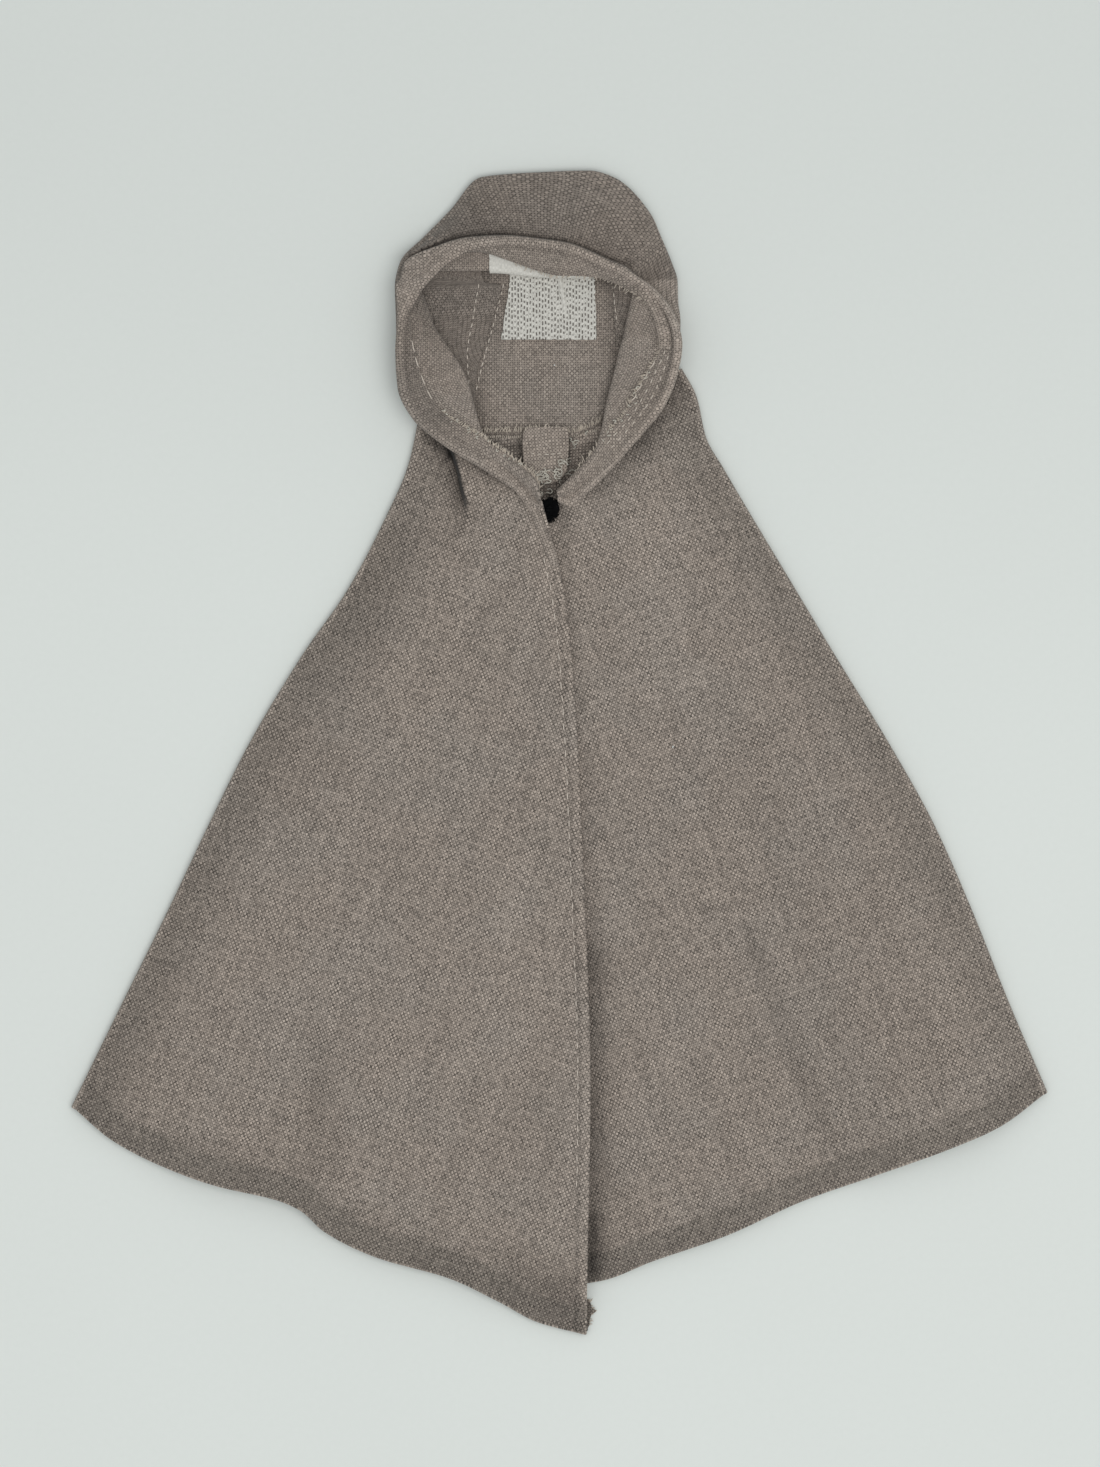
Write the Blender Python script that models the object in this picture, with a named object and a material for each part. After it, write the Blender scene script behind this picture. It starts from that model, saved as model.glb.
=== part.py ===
"""A doll's hooded, front-opening poncho laid flat with its hood open towards the viewer.

Metres, +Z up. The back lies on the surface at z = 0, +Y points to the top of the hood and
the origin is under the middle of the garment. Sizes in the tables below are millimetres.
"""

import math
from collections import namedtuple

import bmesh
import bpy
import numpy as np

MM = 0.001

# Cloth: one wall, the gap between layers, and the step from one layer to the next
CLOTH = 1.0
GAP = 0.3
LAYER = CLOTH + GAP
BEND = LAYER / 2
BASE = CLOTH / 2

# Body: the side folds, where the fronts turn under to meet the back at the side seams
Place = namedtuple("Place", "x y")
LEFT_SIDE = (
    Place(-26.4, 58.2),
    Place(-27.3, 52.0),
    Place(-31.2, 43.0),
    Place(-38.0, 30.0),
    Place(-46.3, 18.0),
    Place(-55.9, 2.0),
    Place(-62.9, -12.0),
    Place(-70.5, -28.0),
    Place(-78.4, -44.0),
    Place(-87.8, -63.2),
)
RIGHT_SIDE = (
    Place(22.0, 69.6),
    Place(24.7, 64.5),
    Place(26.4, 57.2),
    Place(29.6, 51.5),
    Place(34.6, 43.0),
    Place(42.4, 30.0),
    Place(49.6, 18.0),
    Place(59.4, 2.0),
    Place(67.2, -12.0),
    Place(74.3, -28.0),
    Place(80.7, -44.0),
    Place(87.8, -60.6),
)
SIDE_RETURN = 3.5
NECK_RETURN = 0.8
RETURN_GROWS = (2.0, 14.0)

# Body: the hem of each front at places from the side to the middle
LEFT_HEM = (
    Place(-80.6, -69.4),
    Place(-72.8, -73.6),
    Place(-62.0, -77.7),
    Place(-50.6, -80.4),
    Place(-46.4, -82.4),
    Place(-42.2, -86.2),
    Place(-33.1, -90.8),
    Place(-19.6, -94.9),
    Place(-10.6, -99.2),
    Place(-4.0, -102.6),
)
RIGHT_HEM = (
    Place(79.4, -66.9),
    Place(70.4, -71.0),
    Place(56.9, -75.7),
    Place(43.4, -80.5),
    Place(29.9, -86.6),
    Place(16.4, -91.3),
    Place(8.0, -94.6),
)
BACK_HEM_RADIUS = 138.5
NECK = (-1.3, 56.7)
MIDDLE = (0.0, -40.0)

# Body: the back's neck edge runs round the hood's lower layers at these sections
BACK_NECK_Y = 57.5
BACK_LEFT_ANGLES = (231, 236)
BACK_RIGHT_ANGLES = (-26, -39, -51, -56)
BACK_NECK_STEP = 3.2
BACK_FROM_MOUTH = 25.5
HEM_STEPS = 24

# Body: the two middle edges, the left front lying over the right one
Edge = namedtuple("Edge", "y over under")
FRONT_EDGES = (
    Edge(45.6, -2.4, -4.6),
    Edge(38.0, -1.0, -4.4),
    Edge(27.0, 1.1, -3.4),
    Edge(10.0, 2.6, -2.2),
    Edge(-20.0, 4.1, -1.0),
    Edge(-60.0, 5.4, 0.6),
    Edge(-95.0, 4.8, 1.6),
)
OVER_END = (4.7, -104.8)
UNDER_END = (1.6, -95.6)

# Body: soft ridges that the fronts lie in, from start to end, with half width and rise
Ridge = namedtuple("Ridge", "x0 y0 x1 y1 half_width rise")
RIDGES = (
    Ridge(-15.5, 54.0, -12.0, 40.0, 2.6, 1.0),
    Ridge(-27.0, 24.0, -52.0, -34.0, 9.0, 1.3),
    Ridge(-15.0, 5.0, -28.0, -80.0, 9.0, 1.4),
    Ridge(-54.0, -38.0, -63.0, -72.0, 7.5, 1.3),
    Ridge(25.0, 30.0, 34.0, -76.0, 10.0, 1.4),
    Ridge(56.0, -10.0, 71.0, -62.0, 8.0, 1.5),
    Ridge(15.0, -30.0, 14.0, -84.0, 7.0, 0.9),
)
SIDE_FADE = (4.5, 13.0)
HEM_DROP = 4.2
END_DROP = 3.0
OVERLAP_RAMP = 6.0
SNAP_LIFT = 1.7
SNAP_REACH = 6.0

# Hood: its mouth's centre, and one row a section from the left end of the band to the right.
# Each runs from the band's back seam out to the outline and over it to the opening's edge. A
# side section first folds its slack inwards; a crown section climbs over a shallow valley.
# outer, fold and rim are distances from the centre: to the fold that lies at the outline, to
# the slack's inner fold or the valley, and to the opening's edge. base and rim_z are levels.
MOUTH = (-3.3, 72.9)
Section = namedtuple("Section", "angle kind seam_x seam_y outer fold rim base rim_z")
SECTIONS = (
    Section(268, "side", -4.2, 48.6, 26.4, 23.6, 28.9, 2.5, 7.1),
    Section(261, "side", -6.8, 51.2, 24.0, 21.2, 26.2, 2.2, 6.9),
    Section(250, "side", -10.2, 53.8, 22.3, 19.6, 24.4, 1.8, 6.6),
    Section(241, "side", -12.8, 55.8, 21.4, 18.8, 23.9, 1.8, 6.5),
    Section(236, "side", -13.8, 57.1, 21.1, 18.4, 24.0, 1.8, 6.4),
    Section(231, "side", -14.8, 58.6, 20.8, 18.0, 24.2, 1.4, 6.3),
    Section(218, "side", -15.3, 63.0, 23.2, 15.8, 25.2, 0.5, 6.5),
    Section(208, "side", -15.3, 66.5, 25.9, 15.5, 26.3, 0.5, 6.7),
    Section(195, "side", -14.5, 70.5, 26.3, 15.8, 26.7, 0.5, 6.9),
    Section(180, "side", -13.2, 75.0, 25.9, 17.4, 26.2, 0.5, 7.0),
    Section(167, "side", -11.6, 80.0, 26.6, 19.6, 26.4, 0.5, 7.0),
    Section(156, "side", -10.4, 84.4, 28.3, 22.6, 26.2, 0.5, 6.9),
    Section(148, "crown", -13.6, 85.3, 29.6, 26.8, 25.5, 0.5, 6.8),
    Section(136, "crown", -14.1, 87.6, 29.3, 26.2, 24.3, 0.5, 6.7),
    Section(123, "crown", -14.1, 93.6, 30.3, 24.4, 22.9, 0.5, 6.6),
    Section(109, "crown", -10.0, 93.6, 33.3, 22.8, 21.3, 0.5, 6.6),
    Section(90, "crown", -3.3, 93.6, 32.0, 20.8, 19.3, 0.5, 6.6),
    Section(67, "crown", 3.6, 93.6, 33.7, 21.0, 19.4, 0.5, 6.6),
    Section(51, "crown", 8.9, 93.6, 31.4, 22.0, 20.1, 0.5, 6.7),
    Section(44, "crown", 9.1, 90.6, 29.8, 22.6, 20.8, 0.5, 6.8),
    Section(34, "side", 9.6, 86.6, 28.3, 20.2, 22.2, 0.5, 6.9),
    Section(27, "side", 9.7, 84.6, 27.5, 18.2, 22.9, 0.5, 6.9),
    Section(20, "side", 9.7, 82.4, 26.2, 16.6, 23.9, 0.5, 7.0),
    Section(12, "side", 9.7, 80.0, 25.6, 15.5, 24.6, 0.5, 7.0),
    Section(2, "side", 10.1, 76.0, 25.0, 14.4, 25.4, 0.5, 7.0),
    Section(-12, "side", 10.4, 70.0, 23.6, 13.9, 24.9, 0.5, 6.8),
    Section(-26, "side", 10.5, 65.0, 21.2, 14.2, 24.4, 0.5, 6.6),
    Section(-39, "side", 9.2, 61.0, 19.9, 15.4, 23.8, 0.5, 6.4),
    Section(-51, "side", 7.9, 58.6, 19.8, 17.0, 24.1, 1.4, 6.2),
    Section(-56, "side", 7.3, 57.1, 20.8, 18.1, 24.6, 1.8, 6.2),
    Section(-61, "side", 6.5, 55.2, 21.9, 19.3, 25.2, 1.8, 6.2),
    Section(-71, "side", 4.0, 51.8, 24.2, 21.3, 26.9, 1.8, 6.2),
    Section(-80, "side", 1.0, 48.8, 26.4, 23.3, 29.2, 1.8, 6.2),
)
BAND_STATIONS = 58
BAND_LAYER = 1.5
BAND_BEND = BAND_LAYER / 2
CROWN_STEPS = 7
CROWN_SHARE = 0.72
RIM_STEPS = 3
LEFT_NECK_SECTIONS = 7
RIGHT_NECK_SECTIONS = 8
RIM_THICKNESS = 1.5
SEAM_CLEAR = 0.4

# Hood back: its neck edge, and the pleat that lies across its top
HOOD_NECK_Y = 58.1
PLEAT_Y = 85.7
PLEAT_WIDTH = 1.2
PLEAT_RISE = 2 * LAYER
PLEAT_LEFT = -13.7
PLEAT_RIGHT = 8.6
PLEAT_TOP_Y = 93.2
PLEAT_STEPS = 4
HOOD_STEPS = 11
HOOD_COLUMNS = 6

# Patch inside the hood: y, left and right edges of rows, the last on the pleat
Row = namedtuple("Row", "y left right")
PATCH_ROWS = (
    Row(74.8, -10.5, 6.5),
    Row(79.0, -9.8, 6.5),
    Row(83.0, -9.2, 6.4),
    Row(85.3, -8.9, 6.4),
    Row(86.3, -12.4, 6.0),
    Row(87.3, -12.6, 1.0),
    Row(88.6, -12.6, -5.0),
    Row(90.6, -12.7, -11.0),
)
PATCH_COLUMNS = 8
PATCH_FLAT_STEPS = 4
PATCH_CLIMB_STEPS = 6
PATCH_TOP_STEPS = 2
PATCH_LEAD = 2 * GAP

# Tab inside the neck, and the snap that holds the fronts together
TAB = (
    (-6.4, 53.5), (-6.7, 57.7), (-5.6, 59.0), (0.2, 59.0), (1.4, 57.8),
    (1.6, 53.6), (0.5, 50.4), (-1.2, 48.9), (-3.0, 49.0), (-4.9, 51.3),
)
SNAP = (-1.8, 44.3)
SNAP_RADIUS = 2.1
SNAP_PLATE = 0.5
SNAP_HOLE = 0.8
SNAP_STUD = 0.45
STUD_LOW = 0.12
SNAP_SIDES = 24

# Rows of a front: distances from the neck and, at the end, from the hem
NECK_ROWS = (0.0, 1.5, 3.0, 4.5, 6.0, 8.0, 10.5, 13.5, 17.0, 22.0)
HEM_ROWS = (4.2, 2.8, 1.4, 0.0)
FRONT_LENGTH = 140.0
LONG_ROWS = 14
COLUMN_SHARES = (
    0.0, 0.02, 0.04, 0.065, 0.09, 0.13, 0.19, 0.27, 0.36, 0.46, 0.56, 0.66, 0.76, 0.85, 0.93, 1.0
)
ARC_STEPS = 4

Colour = namedtuple("Colour", "name rgb roughness")
CLOTH_COLOUR = Colour("taupe_cloth", (0.235, 0.205, 0.180), 0.9)
PATCH_COLOUR = Colour("white_patch", (0.50, 0.50, 0.49), 0.9)
SNAP_COLOUR = Colour("black_snap", (0.012, 0.012, 0.012), 0.35)


def ease(value, low, high):
    """0 below low, 1 above high, smooth between."""
    t = np.clip((value - low) / (high - low), 0.0, 1.0)
    return t * t * (3 - 2 * t)


def through(places, values, at):
    """A curve through values at rising places, without overshoot, read at the places in at."""
    places = np.asarray(places, float)
    values = np.asarray(values, float)
    steps = np.diff(places).reshape((-1,) + (1,) * (values.ndim - 1))
    slopes = np.diff(values, axis=0) / steps
    before, after = slopes[:-1], slopes[1:]
    same_way = before * after > 0
    total = np.where(same_way, before + after, 1.0)
    inner = np.where(same_way, 2 * before * after / total, 0.0)
    tangents = np.concatenate([slopes[:1], inner, slopes[-1:]])
    results = []
    for place in np.atleast_1d(at):
        i = int(np.clip(np.searchsorted(places, place) - 1, 0, len(places) - 2))
        width = places[i + 1] - places[i]
        t = float(np.clip((place - places[i]) / width, 0.0, 1.0))
        results.append(
            (2 * t**3 - 3 * t**2 + 1) * values[i]
            + (t**3 - 2 * t**2 + t) * width * tangents[i]
            + (3 * t**2 - 2 * t**3) * values[i + 1]
            + (t**3 - t**2) * width * tangents[i + 1]
        )
    return np.array(results)


def along(points, shares):
    """Points at shares, from 0 to 1, of the way along a smooth line through points."""
    points = np.asarray(points, float)
    lengths = np.linalg.norm(np.diff(points, axis=0), axis=1)
    places = np.concatenate([[0.0], np.cumsum(lengths)])
    return through(places, points, np.asarray(shares) * places[-1])


def front_rows():
    """Shares of a front's length at which its rows lie: close together at both ends."""
    near = np.array(NECK_ROWS) / FRONT_LENGTH
    far = 1 - np.array(HEM_ROWS) / FRONT_LENGTH
    return np.concatenate([near[:-1], np.linspace(near[-1], far[0], LONG_ROWS)[:-1], far])


def polar(angle, radius):
    """The point at an angle and a distance from the centre of the hood's mouth."""
    turn = math.radians(angle)
    return np.array([MOUTH[0] + radius * math.cos(turn), MOUTH[1] + radius * math.sin(turn)])


def material(colour):
    made = bpy.data.materials.get(colour.name)
    if made is None:
        made = bpy.data.materials.new(colour.name)
        made.use_nodes = True
        shader = made.node_tree.nodes["Principled BSDF"]
        shader.inputs["Base Color"].default_value = (*colour.rgb, 1.0)
        shader.inputs["Roughness"].default_value = colour.roughness
        shader.inputs["Metallic"].default_value = 0.0
        made.diffuse_color = (*colour.rgb, 1.0)
    return made


def finish(name, mesh_builder, colour):
    """Turns a bmesh in millimetres into a named object in metres with its faces pointing out."""
    bmesh.ops.scale(mesh_builder, vec=(MM, MM, MM), verts=mesh_builder.verts)
    bmesh.ops.recalc_face_normals(mesh_builder, faces=mesh_builder.faces)
    mesh = bpy.data.meshes.new(name)
    mesh_builder.to_mesh(mesh)
    mesh_builder.free()
    mesh.materials.append(material(colour))
    mesh.shade_smooth()
    mesh.set_sharp_from_angle(angle=math.radians(40))
    made = bpy.data.objects.new(name, mesh)
    bpy.context.scene.collection.objects.link(made)
    return made


def skins(upper, lower):
    """The closed body between two grids of points, row by row."""
    rows, columns = upper.shape[:2]
    builder = bmesh.new()
    top = [[builder.verts.new(upper[i, j]) for j in range(columns)] for i in range(rows)]
    bottom = [[builder.verts.new(lower[i, j]) for j in range(columns)] for i in range(rows)]
    for grid in (top, bottom):
        for i in range(rows - 1):
            for j in range(columns - 1):
                builder.faces.new((grid[i][j], grid[i][j + 1], grid[i + 1][j + 1], grid[i + 1][j]))
    ring = [(0, j) for j in range(columns)]
    ring += [(i, columns - 1) for i in range(1, rows)]
    ring += [(rows - 1, j) for j in range(columns - 2, -1, -1)]
    ring += [(i, 0) for i in range(rows - 2, 0, -1)]
    for (i, j), (k, m) in zip(ring, ring[1:] + ring[:1]):
        builder.faces.new((top[i][j], top[k][m], bottom[k][m], bottom[i][j]))
    return builder


def wall(middle, thickness):
    """The two faces of a wall around a grid of middle points."""
    normals = np.cross(np.gradient(middle, axis=0), np.gradient(middle, axis=1))
    normals /= np.linalg.norm(normals, axis=2, keepdims=True)
    half = np.broadcast_to(np.asarray(thickness, float) / 2, middle.shape[:2])[..., None]
    return middle + normals * half, middle - normals * half


def under_edge(y):
    rows = sorted(FRONT_EDGES)
    return through([row.y for row in rows], [row.under for row in rows], y)


def ridge_height(x, y):
    """How far the soft ridges raise the cloth at a place."""
    height = np.zeros_like(x)
    for ridge in RIDGES:
        start = np.array([ridge.x0, ridge.y0])
        run = np.array([ridge.x1, ridge.y1]) - start
        length = np.linalg.norm(run)
        run /= length
        down = (x - start[0]) * run[0] + (y - start[1]) * run[1]
        across = (x - start[0]) * run[1] - (y - start[1]) * run[0]
        ends = ease(down, -ridge.half_width, 2 * ridge.half_width)
        ends *= 1 - ease(down, length - ridge.half_width, length + 2 * ridge.half_width)
        height += ridge.rise * ends * np.exp(-((across / ridge.half_width) ** 2))
    return height


def front_height(x, y, from_side, from_hem, over):
    """Middle of a front's wall: on the back, down at the hem, up over the other front."""
    inside = ease(from_side, *SIDE_FADE)
    height = BASE + LAYER - LAYER * (1 - ease(from_hem, 0.0, HEM_DROP)) * inside
    height += ridge_height(x, y) * inside
    if over:
        edge = under_edge(y.ravel()).reshape(y.shape)
        lift = ease(x, edge - CLOTH - OVERLAP_RAMP, edge - CLOTH)
        past_end = UNDER_END[1] - CLOTH - y
        height += LAYER * lift * (1 - ease(past_end, 0.0, END_DROP))
        near = np.hypot(x - SNAP[0], y - SNAP[1]) / SNAP_REACH
        height += SNAP_LIFT * np.exp(-(near**4)) * lift
    return height


def neck_line(sections, extra):
    """The edge of a front under the hood, just outside the band's lower layers."""
    return [polar(s.angle, s.outer + SEAM_CLEAR + extra) for s in sections]


def inward(line, towards):
    """Level unit vectors across a line, pointing to the side where a point lies."""
    run = np.gradient(line, axis=0)
    across = np.stack([-run[:, 1], run[:, 0]], axis=1)
    across /= np.linalg.norm(across, axis=1, keepdims=True)
    facing = np.sum(across * (np.asarray(towards) - line), axis=1, keepdims=True)
    return across * np.sign(facing)


def make_front(name, left):
    """A front: across from its middle edge to the side fold, then round it and under."""
    if left:
        neck, side, hem = SECTIONS[:LEFT_NECK_SECTIONS], LEFT_SIDE, LEFT_HEM
        edge = [(row.over, row.y) for row in FRONT_EDGES] + [OVER_END]
    else:
        neck, side, hem = SECTIONS[: -1 - RIGHT_NECK_SECTIONS : -1], RIGHT_SIDE, RIGHT_HEM
        edge = [(row.under, row.y) for row in FRONT_EDGES[:-1]] + [UNDER_END]
    shares = front_rows()
    side = along(side, shares)
    into = inward(side, MIDDLE)
    fold = side + into * (BASE + BEND)
    middle_edge = along(edge, shares)
    columns = np.array(COLUMN_SHARES)
    top = along([edge[0]] + neck_line(neck, 0.0) + [fold[0]], columns)
    bottom = along([edge[-1], *hem[::-1], fold[-1]], columns)
    u, v = columns[None, :, None], shares[:, None, None]
    corners = (
        (1 - u) * (1 - v) * top[0] + u * (1 - v) * top[-1]
        + (1 - u) * v * bottom[0] + u * v * bottom[-1]
    )
    plan = (1 - u) * middle_edge[:, None] + u * fold[:, None] + (1 - v) * top + v * bottom - corners
    from_side = np.linalg.norm(plan - fold[:, None], axis=2)
    from_hem = np.linalg.norm(plan - plan[-1], axis=2)
    height = front_height(plan[..., 0], plan[..., 1], from_side, from_hem, left)
    panel = np.concatenate([plan, height[..., None]], axis=2)
    return_points = []
    for step in range(1, ARC_STEPS + 1):
        swing = math.pi * step / ARC_STEPS
        place = fold - into * BEND * math.sin(swing)
        level = np.full((len(side), 1), BASE + BEND + BEND * math.cos(swing))
        return_points.append(np.hstack([place, level]))
    down = np.linalg.norm(side - side[0], axis=1)[:, None]
    reach = NECK_RETURN + (SIDE_RETURN - NECK_RETURN) * ease(down, *RETURN_GROWS)
    for share in (0.5, 1.0):
        level = np.full((len(side), 1), BASE)
        return_points.append(np.hstack([fold + into * reach * share, level]))
    middle = np.concatenate([panel, np.stack(return_points, axis=1)], axis=1)
    upper, lower = wall(middle, CLOTH)
    return finish(name, skins(upper, lower), CLOTH_COLOUR)


def make_back():
    """The back: one flat panel under both fronts, its side edges at the side seams."""
    inset = BASE + BEND + SIDE_RETURN + GAP
    sides = []
    for side in (LEFT_SIDE, RIGHT_SIDE):
        line = along(side, front_rows())
        line = line + inward(line, MIDDLE) * inset
        on_hem = np.hypot(*(line - NECK).T) > BACK_HEM_RADIUS
        sides.append(line[~on_hem & (np.hypot(*(line - MOUTH).T) > BACK_FROM_MOUTH)])
    start = math.atan2(*(sides[0][-1] - NECK)[::-1])
    end = math.atan2(*(sides[1][-1] - NECK)[::-1])
    hem = [
        (NECK[0] + BACK_HEM_RADIUS * math.cos(turn), NECK[1] + BACK_HEM_RADIUS * math.sin(turn))
        for turn in np.linspace(start, end, HEM_STEPS)
    ]
    left_top = neck_line([s for s in SECTIONS if s.angle in BACK_LEFT_ANGLES], CLOTH)
    right_top = neck_line([s for s in SECTIONS if s.angle in BACK_RIGHT_ANGLES], CLOTH)
    outline = list(sides[0]) + hem[1:-1] + list(sides[1][::-1]) + right_top
    outline.append((right_top[-1][0] - BACK_NECK_STEP, BACK_NECK_Y))
    outline.append((left_top[0][0] + BACK_NECK_STEP, BACK_NECK_Y))
    outline += left_top
    return plate("back", outline, 0.0, CLOTH, CLOTH_COLOUR)


def plate(name, outline, low, high, colour):
    """A flat piece between two heights."""
    builder = bmesh.new()
    face = builder.faces.new([builder.verts.new((x, y, low)) for x, y in outline])
    raised = bmesh.ops.extrude_face_region(builder, geom=[face])
    corners = [v for v in raised["geom"] if isinstance(v, bmesh.types.BMVert)]
    bmesh.ops.translate(builder, vec=(0, 0, high - low), verts=corners)
    return finish(name, builder, colour)


def band_section(row):
    """Middle points of the band across one section, from its back seam to the opening's edge."""
    away = polar(row.angle, 1.0) - np.array(MOUTH)
    swings = np.linspace(0, math.pi, ARC_STEPS + 1)
    seam = np.array([row.seam_x, row.seam_y])
    fold = polar(row.angle, row.fold)
    rim = polar(row.angle, row.rim)
    second = row.base + BAND_LAYER
    points = []

    outer = polar(row.angle, row.outer - BASE - BAND_BEND)

    def add(place, level):
        points.append((*place, level))

    add(seam, row.base)
    add((seam + outer) / 2, row.base)
    for swing in swings:
        level = row.base + BAND_BEND * (1 - math.cos(swing))
        add(outer + away * BAND_BEND * math.sin(swing), level)
    if row.kind == "crown":
        rise = row.rim_z - second
        for step in range(1, CROWN_STEPS + 1):
            share = step / (CROWN_STEPS + 1)
            level = second + CROWN_SHARE * rise * math.sin(share * math.pi / 2)
            add(outer + (fold - outer) * share, level)
        for share in np.linspace(0, 1, RIM_STEPS + 1):
            level = second + rise * (CROWN_SHARE + (1 - CROWN_SHARE) * share)
            add(fold + (rim - fold) * share, level)
    else:
        start = fold + away * BAND_BEND
        for share in (1 / 3, 2 / 3):
            add(outer + (start - outer) * share, second)
        for swing in swings:
            level = second + BAND_BEND * (1 - math.cos(swing))
            add(start - away * BAND_BEND * math.sin(swing), level)
        for share in np.linspace(0, 1, RIM_STEPS + 2)[1:]:
            lift = (row.rim_z - second - BAND_LAYER) * ease(share, 0.0, 1.0)
            add(start + (rim - start) * share, second + BAND_LAYER + lift)
    return np.array(points)


def make_band():
    """The hood's band, one strip from the left front over the crown to the right front."""
    angles = np.array([row.angle for row in SECTIONS], float)
    drawn = np.array([band_section(row) for row in SECTIONS])
    sweep = np.linspace(-angles[0], -angles[-1], BAND_STATIONS)
    middle = through(-angles, drawn, sweep)
    thickness = np.full(middle.shape[1], CLOTH)
    thickness[-RIM_STEPS:] = np.linspace(CLOTH, RIM_THICKNESS, RIM_STEPS + 1)[1:]
    upper, lower = wall(middle, thickness[None, :])
    return finish("hood_band", skins(upper, lower), CLOTH_COLOUR)


def seam_at(y, left):
    """Where the band's back seam runs at a height, left or right of the hood back."""
    rows = [s for s in SECTIONS if s.kind == "side" and (s.angle > 90) == left]
    rows.sort(key=lambda s: s.seam_y)
    return through([s.seam_y for s in rows], [s.seam_x for s in rows], y)[0]


def hood_back_top(y):
    """Upper face of the hood back: one layer of cloth, and three where the pleat lies."""
    return CLOTH + PLEAT_RISE * ease(y, PLEAT_Y, PLEAT_Y + PLEAT_WIDTH)


def make_hood_back():
    """The panel at the back of the head, flat on the surface, with the pleat across its top."""
    heights = list(np.linspace(HOOD_NECK_Y, PLEAT_Y - GAP, HOOD_STEPS + 1))
    heights += list(np.linspace(PLEAT_Y, PLEAT_Y + PLEAT_WIDTH, PLEAT_STEPS + 1))
    heights += list(np.linspace(PLEAT_Y + PLEAT_WIDTH, PLEAT_TOP_Y, PLEAT_STEPS)[1:])
    upper = np.zeros((len(heights), HOOD_COLUMNS, 3))
    for i, y in enumerate(heights):
        if y < PLEAT_Y:
            low, high = seam_at(y, True) + SEAM_CLEAR, seam_at(y, False) - SEAM_CLEAR
        else:
            low, high = PLEAT_LEFT + SEAM_CLEAR, PLEAT_RIGHT
        upper[i, :, 0] = np.linspace(low, high, HOOD_COLUMNS)
        upper[i, :, 1] = y
        upper[i, :, 2] = hood_back_top(y)
    lower = upper.copy()
    lower[..., 2] = 0.0
    return finish("hood_back", skins(upper, lower), CLOTH_COLOUR)


def make_patch():
    """The white patch: the hood back's own surface moved out, over the pleat's edge."""
    start, end = PLEAT_Y - GAP, PLEAT_Y + PLEAT_WIDTH + CLOTH / 2
    flat = np.linspace(PATCH_ROWS[0].y, start - GAP, PATCH_FLAT_STEPS + 1)
    climb = np.linspace(start, end, PATCH_CLIMB_STEPS + 1)
    top = np.linspace(end, PATCH_ROWS[-1].y, PATCH_TOP_STEPS + 1)
    heights = np.concatenate([flat, climb, top[1:]])
    edges = through([r.y for r in PATCH_ROWS], [(r.left, r.right) for r in PATCH_ROWS], heights)
    middle = np.zeros((len(heights), PATCH_COLUMNS, 3))
    for i, (y, (low, high)) in enumerate(zip(heights, edges)):
        middle[i, :, 0] = np.linspace(low, high, PATCH_COLUMNS)
        middle[i, :, 1] = y
        middle[i, :, 2] = hood_back_top(y + PATCH_LEAD) + GAP + BASE
    upper, lower = wall(middle, CLOTH)
    return finish("patch", skins(upper, lower), PATCH_COLOUR)


def ring_points(radius, level):
    turns = [2 * math.pi * k / SNAP_SIDES for k in range(SNAP_SIDES)]
    return [(SNAP[0] + radius * math.cos(t), SNAP[1] + radius * math.sin(t), level) for t in turns]


def turned_piece(name, profile, closed, colour):
    """A piece turned about the snap's own axis from (radius, level) pairs."""
    builder = bmesh.new()
    rings = [[builder.verts.new(p) for p in ring_points(radius, level)] for radius, level in profile]
    pairs = list(zip(rings, rings[1:]))
    if closed:
        pairs.append((rings[-1], rings[0]))
    else:
        builder.faces.new(rings[0])
        builder.faces.new(rings[-1])
    for one, two in pairs:
        for k in range(SNAP_SIDES):
            after = (k + 1) % SNAP_SIDES
            builder.faces.new((one[k], one[after], two[after], two[k]))
    return finish(name, builder, colour)


def make_snap():
    """Two halves: a ring on the right front, and over it a plate whose stud stands in the ring."""
    low = 2 * CLOTH + 2 * GAP
    high = low + SNAP_PLATE
    over = high + GAP
    socket = [(SNAP_HOLE, low), (SNAP_RADIUS, low), (SNAP_RADIUS, high), (SNAP_HOLE, high)]
    ball = [
        (SNAP_STUD, low + STUD_LOW),
        (SNAP_STUD, over),
        (SNAP_RADIUS, over),
        (SNAP_RADIUS, over + SNAP_PLATE / 2),
        (SNAP_RADIUS - SNAP_PLATE, over + SNAP_PLATE),
    ]
    turned_piece("snap_socket", socket, True, SNAP_COLOUR)
    turned_piece("snap_ball", ball, False, SNAP_COLOUR)


def main():
    for old in list(bpy.data.objects):
        bpy.data.objects.remove(old, do_unlink=True)
    make_back()
    make_front("front_left", True)
    make_front("front_right", False)
    make_hood_back()
    make_band()
    make_patch()
    plate("neck_tab", TAB, CLOTH + GAP, 2 * CLOTH + GAP, CLOTH_COLOUR)
    make_snap()


main()
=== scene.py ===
"""Dresses a doll's hooded poncho, laid flat and seen from straight above.

Thin woven cloth lies on each solid's form, with its turned edges, stitches, frayed threads and
snap. Tables are in millimetres in the model's own frame: +X to the right front, +Y to the top
of the hood, +Z up from the surface.
"""
import logging
import math
import random
from dataclasses import dataclass, field
from enum import Enum
from itertools import starmap
from typing import Callable, NamedTuple, Sequence, Union

import bmesh
import bpy
import numpy as np
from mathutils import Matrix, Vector
from mathutils.bvhtree import BVHTree


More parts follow.
